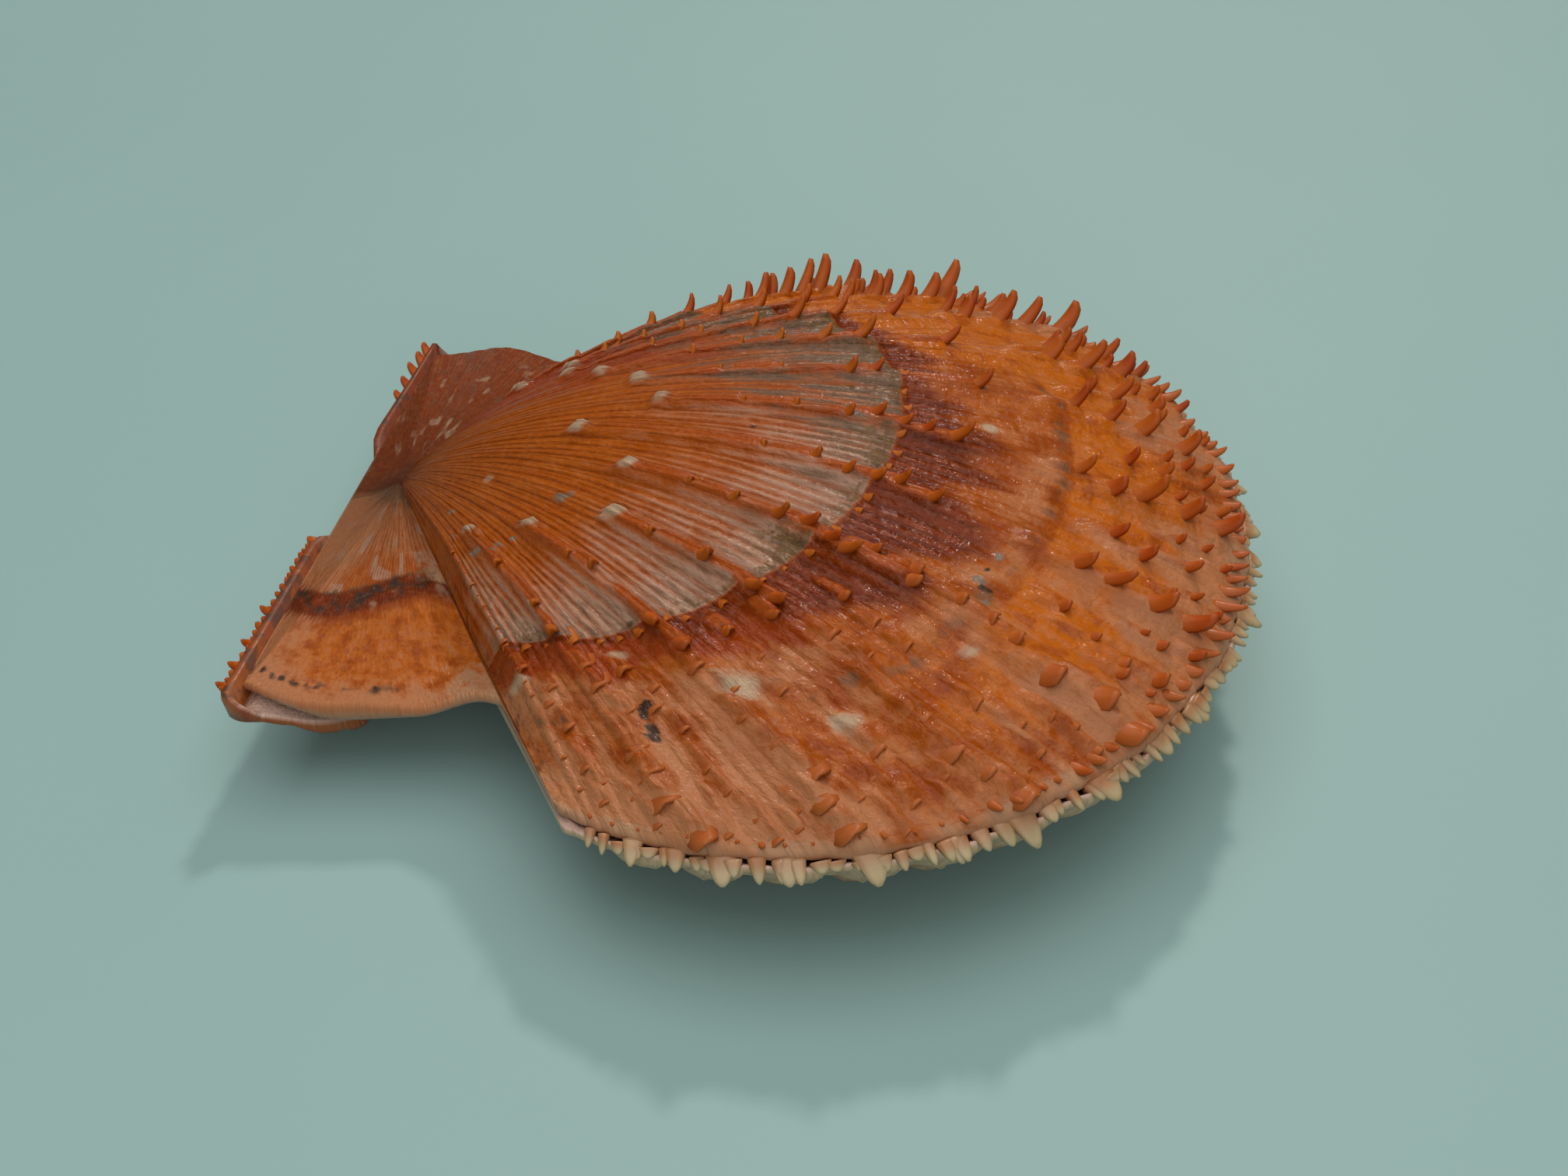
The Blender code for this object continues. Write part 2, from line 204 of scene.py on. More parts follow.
def rib_band(angle, valve):
    """1 on the crest of a rib and 0 between ribs and beyond the outermost ones."""
    inside = 1.0 - smooth(RIB_SPAN[valve] + 1.0, RIB_SPAN[valve] + 2.5, np.abs(angle))
    width = (0.10, 0.21) if valve == "left" else (0.20, 0.34)
    return inside * (1.0 - smooth(width[0], width[1], np.abs(rib_distance(angle, valve))))


def band_started(angle, rho):
    """1 past the blunt start of a left rib's raised band."""
    rib = np.clip(np.round(angle / RIB_PITCH["left"]), -5, 5).astype(int)
    starts = np.array([BAND_STARTS[i] for i in range(-5, 6)])[rib + 5]
    return smooth(-0.004, 0.006, rho - starts)


def wandering(angle, rho):
    """The angle with the small drift that real riblets have."""
    return angle + 0.7 * (noise(angle / 2.6 + 70.0, rho * 7.0, 41) - 0.5) * smooth(0.05, 0.3, rho)


def riblets(angle, rho, valve):
    """Fine radial riblets; new ones come in between as the shell widens."""
    angle = wandering(angle, rho)
    pitch = RIB_PITCH[valve] / RIBLETS_PER_RIB[valve]
    coarse = np.abs(np.sin(np.radians(180.0 * angle / (2.0 * pitch))))
    fine = np.sin(np.radians(180.0 * angle / pitch)) ** 2
    share = smooth(0.25, 0.5, rho)
    return (1.0 - share) * coarse + share * fine


def ribbing(angle, rho, valve):
    growth = 0.12 + 0.88 * smooth(0.0, 0.75, rho)
    inside = 1.0 - smooth(RIB_SPAN[valve] + 2.0, RIB_SPAN[valve] + 5.0, np.abs(angle))
    swell = inside * (0.5 + 0.5 * np.cos(2.0 * math.pi * rib_distance(angle, valve)))
    band = rib_band(angle, valve)
    if valve == "left":
        fading = 1.0 - 0.65 * smooth(0.64, 0.80, rho)
        raised = 0.40 * swell * growth + band * fading * (0.30 * growth + 0.36 * band_started(angle, rho))
    else:
        raised = (0.25 * swell + 0.75 * band) * growth
    uneven = 0.5 + noise(angle / 1.3 + 12.0, rho * 15.0, 43)
    fine = (riblets(angle, rho, valve) - 0.5) * smooth(0.0, 0.3, rho) * uneven * (1.0 - 0.68 * smooth(0.60, 0.78, rho))
    return RIB_HEIGHT[valve] * raised + RIBLET_HEIGHT[valve] * fine


def bulge(rho, valve):
    """Height of a valve's profile from the beak to the margin."""
    rise, fall = BULGE_RISE[valve], BULGE_FALL[valve]
    top = rise / (rise + fall)
    peak = top ** rise * (1.0 - top) ** fall
    rho = np.clip(rho, 0.0, 1.0)
    return BULGES[valve] * rho ** rise * (1.0 - rho) ** fall / peak


def growth_drop(rho):
    """Small steps at the growth stops, gone again before the margin."""
    return sum(GROWTH_STEP * smooth(stop - 0.006, stop + 0.006, rho) * (1.0 - smooth(stop, stop + 0.2, rho))
               for stop in GROWTH_STOPS)


def beak_start(rho):
    return 0.6 * BEAK_RISE * (1.0 - rho) ** 3


def disc_height(angle, rho, valve, ribbed=True):
    c = np.cos(np.radians(angle))
    height = RIM + beak_start(rho) + bulge(rho, valve) * c ** 2 - growth_drop(rho) * c
    if not ribbed:
        return height
    uneven = 0.10 * (noise(angle / 6.0 + 31.0, rho * 16.0, 3) - 0.5) * smooth(0.1, 0.4, rho)
    ridges = ribbing(angle, rho, valve)
    if valve == "right":
        end = margin(angle, valve)
        plan = BEAK + rho[..., None] * (end - BEAK)
        ridges = ridges * smooth(5.0, 12.0, np.linalg.norm(plan - REST_SPOT, axis=-1))
    return height + ridges + uneven


def foot_height(radius, rho):
    return RIM + (EAR_LEVEL - RIM) * (1.0 - smooth(26.0, 34.0, radius)) + beak_start(rho)


def ear_stop(angle):
    """Where the growth stop runs across the left valve's front ear."""
    return 0.49 + 0.11 * np.clip((np.abs(angle) - 60.0) / 36.0, 0.0, 1.0)


def ear_height(angle, rho, y, valve, ribbed=True):
    domed = EAR_SWELL + REAR_DOME * (valve == "left") * smooth(40.0, 75.0, angle)
    height = EAR_LEVEL + domed * np.sin(math.pi * smooth(-16.0, -1.0, y)) * rho + beak_start(rho)
    if not ribbed:
        return height
    front = angle < 0.0
    pitch = np.where(front, 3.4, 4.6) if valve == "left" else np.where(front, 7.6, 4.6)
    strength = np.where(front, 0.035, 0.09) if valve == "left" else np.where(front, 0.34, 0.14)
    ribs = np.abs(np.sin(np.radians(180.0 * angle / pitch))) ** 0.8 * smooth(0.1, 0.45, rho)
    beads = 1.0 + 0.35 * np.sin(rho * 95.0) * (valve == "right") * front
    stop = 0.16 * np.exp(-((rho - ear_stop(angle)) / 0.014) ** 2) * front * (valve == "left")
    away_from_hinge = 1.0 - smooth(-3.5, -0.8, y)
    return height + (strength * (ribs * beads - 0.5) - stop) * away_from_hinge


def droop(x, y):
    """How far the front ears of both valves hang down toward their free edge."""
    across = smooth(-13.0, -26.0, x)
    along = smooth(-21.0, -14.0, y) * (1.0 - smooth(-8.0, -0.5, y))
    return FRONT_EAR_DROOP * across * along


def curve_through(points, per_span):
    """Points of a smooth curve through these, without the last one."""
    p = np.array([points[0]] + list(points) + [points[-1]])
    t = np.arange(per_span)[:, None] / per_span
    spans = []
    for i in range(1, len(p) - 2):
        a, b, c, d = p[i - 1], p[i], p[i + 1], p[i + 2]
        spans.append(0.5 * (2 * b + (c - a) * t + (2 * a - 5 * b + 4 * c - d) * t ** 2 + (3 * b - a - 3 * c + d) * t ** 3))
    return np.concatenate(spans)


class Valve:
    """The radial lines of one valve, in order once round the beak."""

    def __init__(self, name):
        self.name = name
        self.sign = 1.0 if name == "left" else -1.0
        front_ear = LEFT_FRONT_EAR if name == "left" else RIGHT_FRONT_EAR
        rear_ear = LEFT_REAR_EAR if name == "left" else RIGHT_REAR_EAR
        ends, weights = [], []
        front = self.side(front_ear, -1.0)
        rear = self.side(rear_ear, 1.0)
        angles = np.linspace(-DISC_CREST_ANGLE, DISC_CREST_ANGLE, DISC_COLUMNS)
        disc = (margin(angles, name), np.tile([1.0, 0.0, 0.0, 0.0], (len(angles), 1)))
        for part_ends, part_weights in (front, disc, (rear[0][::-1], rear[1][::-1])):
            ends.append(part_ends)
            weights.append(part_weights)
        self.end = np.concatenate(ends)
        self.disc, self.foot, self.ear, self.hinge = np.concatenate(weights).T
        offset = self.end - BEAK
        self.angle = np.degrees(np.arctan2(offset[:, 0], -offset[:, 1]))

    def side(self, ear, sign):
        """Lines from the middle of the hinge to the crest of the disc's edge, on one side."""
        corner = np.array(ear[-1])
        shares = np.arange(HINGE_COLUMNS)[:, None] / HINGE_COLUMNS
        skip = 0 if sign < 0.0 else 1
        hinge = (corner * [1.0, 0.0] * shares + [0.0, corner[1]])[skip:]
        outline = curve_through(ear[::-1], COLUMNS_PER_EAR_SPAN)
        foot_end = margin(np.array([sign * DISC_EDGE_ANGLE]), self.name)[0]
        shares = np.arange(FOOT_COLUMNS)[:, None] / FOOT_COLUMNS
        toward_foot = ear[0] + (foot_end - ear[0]) * shares
        flank_angles = sign * np.linspace(DISC_EDGE_ANGLE, DISC_CREST_ANGLE, FLANK_COLUMNS, endpoint=False)
        flank = margin(flank_angles, self.name)
        weights = [np.tile([0.0, 0.0, 0.0, 1.0], (len(hinge), 1))]
        turn = np.clip(1.0 - np.arange(len(outline)) / COLUMNS_PER_EAR_SPAN, 0.0, 1.0)
        weights.append(np.stack([0 * turn, 0 * turn, 1.0 - turn, turn], -1))
        toward = smooth(0.0, 1.0, shares[:, 0])
        weights.append(np.stack([0 * toward, toward, 1.0 - toward, 0 * toward], -1))
        up = np.arange(FLANK_COLUMNS) / FLANK_COLUMNS
        weights.append(np.stack([up, 1.0 - up, 0 * up, 0 * up], -1))
        return np.concatenate([hinge, outline, toward_foot, flank]), np.concatenate(weights)

    def plan(self, rho):
        return BEAK + rho[..., None] * (self.end - BEAK)

    def outer(self, rho, ribbed=True):
        """Height of the outer face over rings of lines."""
        rho = np.broadcast_to(rho, (len(rho), len(self.end)))
        angle = np.broadcast_to(self.angle, rho.shape)
        plan = self.plan(rho)
        radius = np.linalg.norm(plan - BEAK, axis=-1)
        disc = disc_height(np.clip(angle, -56.0, 56.0), rho, self.name, ribbed)
        ear = ear_height(angle, rho, plan[..., 1], self.name, ribbed)
        return self.disc * disc + self.foot * foot_height(radius, rho) + (self.ear + self.hinge) * ear

    def inner(self, rho):
        """Height of the inner face: the smooth outer face less the wall."""
        near_hinge = np.maximum(self.hinge, self.ear * smooth(-8.0, -4.6, self.end[:, 1]))
        ears = EAR_CLEARANCE + (HINGE_RELIEF - EAR_CLEARANCE) * near_hinge
        floor = (self.disc + self.foot) * GAP / 2.0 + (self.ear + self.hinge) * ears
        if rho[0, 0] >= 1.0:
            return np.broadcast_to(floor, (len(rho), len(floor)))
        wall = WALL_AT_BEAK + (WALL_AT_MARGIN - WALL_AT_BEAK) * rho
        hollow = np.maximum(self.outer(rho, False) - wall, floor)
        return self.disc * hollow + (1.0 - self.disc) * floor

    def folded(self):
        """1 along the right valve's folded hinge edge, 0 elsewhere."""
        past_beak = smooth(FOLD_START_X - 1.0, FOLD_START_X + 4.0, np.abs(self.end[:, 0]))
        return self.hinge * past_beak * (self.name == "right")

    def rim(self):
        """Rows of the rim as (offset outward, height), from the outer face to the inner one."""
        top = self.outer(np.ones((1, 1)))[0]
        bottom = self.inner(np.ones((1, 1)))[0]
        fold = self.folded()
        flat = np.zeros_like(top)
        lip = self.disc * (self.name == "left")
        reach = fold_reach(self.end[:, 0])
        wall = FOLD_WALL * reach / FOLD_Y
        plain = [
            (0.22 + 0.06 * lip, 0.82 * top + 0.18 * bottom), (0.35 + 0.17 * lip, 0.6 * top + 0.4 * bottom),
            (0.33 + 0.26 * lip, 0.3 * top + 0.7 * bottom - 0.24 * lip), (0.15 + 0.25 * lip, bottom - 0.13 * lip),
            (flat, bottom),
        ]
        folded = [
            (reach - 0.1, 0.75 * top), (reach + 0.15, flat - 0.5 * FOLD_TOP), (reach, flat - FOLD_TOP),
            (reach - wall, flat - FOLD_TOP), (flat + 0.36, bottom),
        ]
        rows = []
        for (out_plain, high_plain), (out_fold, high_fold) in zip(plain, folded):
            rows.append((out_plain + (out_fold - out_plain) * fold, high_plain + (high_fold - high_plain) * fold))
        return rows

    def outward(self):
        """Unit directions in plan: away from the beak, or straight back at the hinge."""
        away = self.end - BEAK
        away = away / np.linalg.norm(away, axis=-1, keepdims=True)
        mixed = away * (1.0 - self.hinge[:, None]) + np.array([0.0, 1.0]) * self.hinge[:, None]
        return mixed / np.linalg.norm(mixed, axis=-1, keepdims=True)

    def place(self, plan, height):
        """Shell-frame points over a plan, at a height out of this valve."""
        z = self.sign * height - droop(plan[..., 0], plan[..., 1])
        return np.concatenate([plan, z[..., None]], -1)

    def disc_point(self, angle, rho):
        """A point of the disc's outer face."""
        angle, rho = np.atleast_1d(float(angle)), np.atleast_1d(float(rho))
        plan = BEAK + rho[:, None] * (margin(angle, self.name) - BEAK)
        return self.place(plan, disc_height(angle, rho, self.name))[0]

    def disc_axes(self, angle, rho):
        """A point of the disc with its directions toward the margin, sideways and out of the face."""
        point = self.disc_point(angle, rho)
        down = self.disc_point(angle, min(rho + 0.01, 1.0)) - self.disc_point(angle, rho - 0.02)
        side = self.disc_point(angle + 4.0, rho) - self.disc_point(angle - 4.0, rho)
        out = np.cross(side, down)
        out *= self.sign * np.sign(out[2]) / np.linalg.norm(out)
        down = down / np.linalg.norm(down)
        return point, down, np.cross(out, down), out


def row_shift():
    """Move from the tilted shell frame to the row frame, read from the ligament's box."""
    turn = Matrix.Rotation(REST_TILT, 3, "X")
    low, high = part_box("ligament")
    corners = [turn @ Vector((x, y, z)) for x in LIGAMENT_ENDS for y in LIGAMENT_Y
               for z in (-LIGAMENT_HALF_THICKNESS, LIGAMENT_HALF_THICKNESS)]
    return Vector((
        low.x / MM - min(c.x for c in corners),
        low.y / MM - min(c.y for c in corners),
        high.z / MM - max(c.z for c in corners),
    ))


SHIFT = row_shift()


def to_row(points):
    """Shell-frame millimetres to row-frame metres, kept above the floor."""
    turn = np.array(Matrix.Rotation(REST_TILT, 3, "X"))
    moved = points @ turn.T + np.array(SHIFT)
    moved[..., 2] = np.maximum(moved[..., 2], 0.0)
    return moved * MM


class Sheets:
    """Collects vertices, faces and vertex values, and makes one mesh piece of them."""

    def __init__(self):
        self.points = []
        self.faces = []
        self.values = {}
        self.count = 0

    def add(self, points, faces, **values):
        self.points.append(points)
        self.faces += [tuple(i + self.count for i in face) for face in faces]
        for name, value in values.items():
            self.values.setdefault(name, []).append(np.broadcast_to(value, len(points)))
        self.count += len(points)

    def piece(self, name, material, node=None):
        mesh = bpy.data.meshes.new(name)
        mesh.from_pydata(to_row(np.concatenate(self.points)).tolist(), [], self.faces)
        mesh.polygons.foreach_set("use_smooth", [True] * len(mesh.polygons))
        for key, parts in self.values.items():
            layer = mesh.attributes.new(key, "FLOAT", "POINT")
            layer.data.foreach_set("value", np.concatenate(parts).astype(np.float32))
        mesh.materials.append(material)
        made = bpy.data.objects.new(name, mesh)
        bpy.context.scene.collection.objects.link(made)
        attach(made, "root")
        if node:
            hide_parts(node)
        return made


def patches(angle, rho, spots):
    """1 at the listed spots, fading to 0 at their ragged edges."""
    radius = rho * 72.0
    ragged = 0.65 + 0.7 * noise(angle / 0.9 + 33.0, rho * 80.0, 61)
    total = np.zeros(np.broadcast(angle, rho).shape)
    for spot_angle, spot_rho, size in spots:
        across = np.radians(angle - spot_angle) * radius
        along = (rho - spot_rho) * 72.0
        total = np.maximum(total, 1.0 - smooth(0.1 * size, 1.3 * size, np.hypot(across, along) * ragged))
    return total


def left_disc_marks(angle, rho):
    """Share of the left disc that each colour covers."""
    wander = noise(angle / 5.0 + 20.0, rho * 9.0, 8) - 0.5
    drift = noise(angle / 2.0 + 4.0, rho * 3.0, 9) - 0.5
    broad = noise(angle / 11.0 + 40.0, rho * 5.0, 51)
    first, second = GROWTH_STOPS
    past_first = smooth(first - 0.002, first + 0.004, rho)
    before_first = 1.0 - past_first
    maroon_end = 0.715 - 0.0012 * np.abs(angle + 12.0) - 0.0009 * np.clip(angle, 0.0, 40.0)
    fading = smooth(maroon_end + 0.05, maroon_end - 0.05, rho + 0.05 * wander + 0.09 * drift)
    maroon = past_first * fading * (0.58 + 0.42 * smooth(-45.0, -20.0, angle))
    maroon = maroon + 0.5 * np.exp(-((rho - first - 0.004) / 0.005) ** 2)
    pale = smooth(0.26, 0.50, rho + 0.10 * wander + 0.14 * drift) * before_first
    rear_half = smooth(-12.0, 14.0, angle)
    near_stop = smooth(0.50, 0.60, rho + 0.05 * wander) * before_first
    white = pale * (0.44 - 0.18 * rear_half) + 0.22 * near_stop * (1.0 - rear_half)
    grey = pale * (0.20 + 0.40 * rear_half) + 0.20 * near_stop
    olive = near_stop * (0.30 + 0.16 * smooth(-34.0, -5.0, angle)) * (0.7 + 0.6 * broad)
    at_stop = smooth(0.582, 0.610, rho + 0.02 * wander) * before_first
    past_maroon = 1.0 - fading
    blurred = smooth(-8.0, -22.0, angle)
    stop_edge = smooth(second + 0.004 + 0.06 * blurred, second - 0.012 - 0.07 * blurred, rho + 0.12 * wander * blurred)
    inside_second = past_first * past_maroon * stop_edge
    front_half = 1.0 - smooth(0.0, 16.0, angle)
    front_low = smooth(0.64, 0.74, rho) * (1.0 - smooth(-42.0, -24.0, angle))
    hazy = smooth(0.48, 0.72, noise(angle / 1.7 + 70.0, rho * 5.0, 91))
    outer_pink = smooth(0.82, 0.97, rho) * (0.14 + 0.46 * broad) + 0.34 * hazy * smooth(0.78, 0.84, rho)
    pink = inside_second * front_half * (0.14 + 0.30 * smooth(0.68, 0.76, rho)) + 0.26 * front_low * (0.5 + broad) + outer_pink
    bright = smooth(second - 0.002, second + 0.02, rho) * smooth(-34.0, -12.0, angle) * (1.0 - 0.5 * smooth(0.88, 0.97, rho))
    bright = bright + past_maroon * past_first * smooth(10.0, 20.0, angle)
    red = smooth(2.0, 26.0, angle) * smooth(0.56, 0.36, rho) * 0.7 + 0.3 * smooth(28.0, 46.0, angle)
    red = red + past_first * smooth(0.74, 0.68, rho + 0.08 * wander) * smooth(-18.0, -34.0, angle)
    stop_line = 0.55 * np.exp(-((rho - second - 0.018 * wander) / 0.011) ** 2) * smooth(0.35, 0.75, broad + 0.5 * np.abs(wander))
    band = rib_band(angle, "left") * band_started(angle, rho)
    tongue = band * 0.34 * smooth(0.66, 0.60, rho + 0.05 * wander)
    knobs = [(rib * RIB_PITCH["left"], start + 0.010, 0.95) for rib, start in BAND_STARTS.items()]
    chalk = np.maximum(0.8 * patches(angle, rho, WHITE_PATCHES), patches(angle, rho, knobs))
    flank = smooth(54.2, 55.4, np.abs(angle)) * smooth(0.30, 0.45, rho)
    return {
        "white": white, "grey": np.clip(grey + 0.7 * stop_line, 0.0, 1.0), "olive": olive + 0.20 * at_stop + 0.35 * flank + 0.26 * broad * smooth(0.88, 0.98, rho),
        "maroon": np.clip(maroon, 0.0, 1.0), "pink": np.clip(pink, 0.0, 0.8), "bright": np.clip(bright, 0.0, 1.0),
        "rim": 0.55 * smooth(0.982, 1.0, rho + 0.02 * wander) * smooth(24.0, 4.0, angle), "red": np.clip(red, 0.0, 1.0),
        "tongue": tongue, "chalk": chalk,
        "crust": patches(angle, rho, CRUSTS),
        "dirt": np.clip(patches(angle, rho, DIRT_SPECKS) + 0.45 * flank + 0.22 * at_stop
                        + 0.3 * stop_line, 0.0, 1.0),
    }


def left_ear_marks(angle, rho):
    """Share of the left ears that each colour covers."""
    front = 1.0 * (angle < 0.0)
    rear = 1.0 - front
    turn = np.abs(angle)
    wander = noise(angle / 6.0 + 20.0, rho * 9.0, 8) - 0.5
    flecks = smooth(0.62, 0.80, noise(angle / 3.2 + 50.0, rho * 13.0, 17))
    at_beak = 1.0 - smooth(0.05, 0.18, rho)
    stop = ear_stop(angle) + 0.012 * wander
    ear_line = np.exp(-((rho - stop - 0.004) / 0.050) ** 4) * (0.55 + 0.45 * smooth(58.0, 72.0, turn))
    fringe = smooth(stop - 0.10, stop - 0.01, rho) * smooth(stop + 0.03, stop, rho) * (0.6 + wander)
    after_line = smooth(stop, stop + 0.02, rho) * smooth(stop + 0.16, stop + 0.05, rho)
    by_notch = smooth(72.0, 57.0, turn)
    beads = np.exp(-((rho - 0.935) / 0.022) ** 2) * smooth(64.0, 80.0, turn) * (0.6 + 0.4 * np.sin(turn * 2.9))
    by_disc = rear * smooth(66.0, 57.0, turn) * smooth(0.2, 0.45, rho)
    cream = by_notch * (0.6 * smooth(0.24, 0.42, rho) * smooth(stop + 0.02, stop - 0.01, rho) + 0.6 * smooth(0.66, 1.0, rho))
    near_hinge = smooth(88.0, 100.0, turn)
    return {
        "white": 0.55 * flecks * front * smooth(stop + 0.10, stop + 0.02, rho) + 0.15 * by_disc,
        "grey": np.clip(0.4 * at_beak + front * 0.35 * smooth(0.5, 0.4, rho) * (0.5 + wander) + 0.40 * rear, 0.0, 1.0),
        "olive": front * np.clip(1.1 * fringe, 0.0, 1.0),
        "maroon": np.clip(rear * 0.55 + front * (0.55 * after_line + 1.0 * ear_line) + 0.45 * by_disc, 0.0, 1.0),
        "pink": np.clip(front * (0.25 * smooth(0.5, 0.3, rho) + 0.5 * smooth(0.86, 1.0, rho) + 0.4 * near_hinge + 0.26) + 0.12 * rear, 0.0, 1.0),
        "bright": front * smooth(stop + 0.04, stop + 0.14, rho) * 0.6,
        "rim": front * cream,
        "red": rear * 0.35 + 0.5 * front * after_line,
        "tongue": 0.0 * rho, "crust": 0.0 * rho,
        "chalk": 0.5 * rear * flecks * smooth(0.12, 0.3, rho) * smooth(1.0, 0.85, rho) + 0.35 * front * flecks * after_line,
        "dirt": np.clip(front * (0.50 * ear_line + 0.7 * beads) + 0.3 * by_disc, 0.0, 1.0),
    }


def left_marks(angle, rho, ear):
    """Colour masks of the left valve."""
    on_disc = left_disc_marks(angle, rho)
    on_ear = left_ear_marks(angle, rho)
    return {name: on_disc[name] * (1.0 - ear) + on_ear[name] * ear for name in on_disc}


def right_marks(angle, rho, ear):
    """Colour masks of the right valve: the share of the surface that each colour covers."""
    disc = 1.0 - ear
    bands = noise(angle / 30.0 + 8.0, rho * 15.0, 21)
    toward_beak = smooth(0.66, 0.25, rho)
    front_edge = smooth(-40.0, -52.0, angle)
    orange = np.clip(0.20 + 0.45 * smooth(0.35, 0.75, bands) + 0.55 * toward_beak + 0.4 * front_edge, 0.0, 1.0)
    orange = orange * (1.0 - 0.65 * smooth(0.86, 0.97, rho))
    front = ear * (angle < 0.0)
    rear = ear * (angle > 0.0)
    hinge_edge = ear * smooth(90.0, 97.0, np.abs(angle))
    rear_fold = hinge_edge * (angle > 0.0)
    ear_bands = front * (0.40 + 0.40 * np.sin(rho * 21.0)) + rear * 0.6
    notch_cream = front * smooth(74.0, 60.0, np.abs(angle)) * (1.0 - hinge_edge)
    return {
        "orange": np.clip(disc * orange + ear_bands * (1.0 - notch_cream) * (1.0 - hinge_edge) + 0.9 * hinge_edge, 0.0, 1.0),
        "rim": smooth(0.94, 1.0, rho) * disc + notch_cream * (1.0 - hinge_edge),
        "pink": disc * 0.4 + 0.50 * (hinge_edge - rear_fold),
        "umber": 0.50 * (hinge_edge - rear_fold) + rear_fold,
        "dirt": np.exp(-((rho - 0.62) / 0.006) ** 2) * disc * 0.35 + ear * smooth(0.2, 0.05, rho) * 0.5
        + 0.3 * hinge_edge,
    }


def add_valve(sheets, valve, marks, spines):
    """The valve's outer face, rim and inner face, as rings round the beak."""
    rho = np.linspace(0.02, 1.0, RINGS)[:, None]
    heights = valve.outer(rho)
    ridge_height, ridge_share = footings(valve, rho, spines)
    heights = heights + np.maximum(ridge_height, knobs(valve, rho))
    full = np.broadcast_to(rho, heights.shape)
    rows = [valve.place(valve.plan(full), heights)]
    row_rho = [full]
    out = valve.outward()
    for offset, height in valve.rim():
        plan = valve.end + out * offset[:, None]
        rows.append(valve.place(plan, height)[None])
        row_rho.append(np.ones((1, len(valve.end))))
    for share in INNER_RINGS:
        ring = np.full((1, len(valve.end)), share)
        rows.append(valve.place(valve.plan(ring), valve.inner(ring)))
        row_rho.append(ring)
    grid = np.concatenate(rows)
    rho_grid = np.concatenate(row_rho)
    inner = np.zeros(rho_grid.shape)
    inner[RINGS + 3:] = 1.0
    inner[RINGS + 3:RINGS + 5] -= valve.folded()
    count = len(valve.end)
    angle = np.broadcast_to(valve.angle, rho_grid.shape)
    ear = np.broadcast_to(valve.ear + valve.hinge + 0.5 * valve.foot, rho_grid.shape)
    reach = np.linalg.norm(valve.end - BEAK, axis=-1)
    at_corner = [reach[HINGE_COLUMNS], reach[count - HINGE_COLUMNS]]
    corner = np.where(valve.angle < 0.0, at_corner[0], at_corner[1])
    ear_rho = rho_grid * np.where(valve.hinge > 0.5, reach / corner, 1.0)
    values = {"angle": angle, "rho": rho_grid, "inner": inner, "line": wandering(angle, rho_grid)}
    edge = np.zeros(rho_grid.shape)
    edge[RINGS:RINGS + 5] = np.array([0.1, 0.45, 0.9, 1.0, 1.0])[:, None] * (1.0 - valve.folded()) * (1.0 - valve.hinge)
    values["edge"] = edge
    ridge = np.zeros(rho_grid.shape)
    ridge[:RINGS] = ridge_share
    values["ridge"] = ridge * (1.0 - 0.55 * smooth(0.66, 0.78, rho_grid))
    values["riblet"] = 1.0 - 0.75 * ear
    values.update(marks(angle, rho_grid * (1.0 - ear) + ear_rho * ear, ear))
    apex = valve.place(BEAK[None], np.array([RIM + 0.6 * BEAK_RISE]))
    inner_apex = valve.place(BEAK[None], np.array([HINGE_RELIEF]))
    points = np.concatenate([grid.reshape(-1, 3), apex, inner_apex])
    last_row = len(grid) - 1
    faces = []
    for i in range(count):
        j = (i + 1) % count
        faces.append((count * len(grid), i, j))
        faces.append((count * len(grid) + 1, last_row * count + j, last_row * count + i))
    for row in range(last_row):
        a = row * count
        faces += [(a + i, a + count + i, a + count + (i + 1) % count, a + (i + 1) % count) for i in range(count)]
    if valve.sign < 0.0:
        faces = [face[::-1] for face in faces]
    flat = {key: np.append(np.ravel(value), [np.ravel(value)[0], np.ravel(value)[-1]]) for key, value in values.items()}
    sheets.add(points, faces, **flat)


def footings(valve, rho, spines):
    """Ridges of shell that climb to each spine from the one before it, and drop behind it."""
    raised = np.zeros((len(rho), len(valve.end)))
    share = np.zeros_like(raised)
    for angle, place, length, width, start in spines:
        columns = np.where((np.abs(valve.angle - angle) < 4.6) & (valve.disc > 0.9))[0]
        rows = np.where((rho[:, 0] > start - 0.01) & (rho[:, 0] < place + 0.012))[0]
        if not len(columns) or not len(rows):
            continue
        across = np.radians(valve.angle[columns] - angle) * 72.0 * place / (0.45 * width)
        climb = np.clip((rho[rows] - start) / (place - start), 0.0, 1.0)
        ramp = (0.55 * smooth(0.0, 0.3, climb) + 0.45 * climb ** 2) * (1.0 - smooth(0.0, 0.009, rho[rows] - place))
        block = ramp * np.exp(-across ** 4)
        spot = np.ix_(rows, columns)
        share[spot] = np.maximum(share[spot], block)
        raised[spot] = np.maximum(raised[spot], (0.24 + 0.12 * length + 0.20 * float(smooth(0.7, 0.8, place))) * block)
    return raised, share


def knobs(valve, rho):
    """Blunt knobs where the raised bands of the left valve's ribs begin."""
    spots = [(rib * RIB_PITCH["left"], start + 0.010, 1.15) for rib, start in BAND_STARTS.items()]
    blunt = 0.55 * patches(valve.angle[None, :], rho, spots)
    lumps = 0.45 * patches(valve.angle[None, :], rho, CRUSTS) * noise(valve.angle[None, :] * 1.4 + 90.0, rho * 110.0, 71)
    return np.maximum(blunt, lumps) * (valve.name == "left") * (valve.disc > 0.9)


SCALE_STATIONS = 8
SCALE_ARC = 5


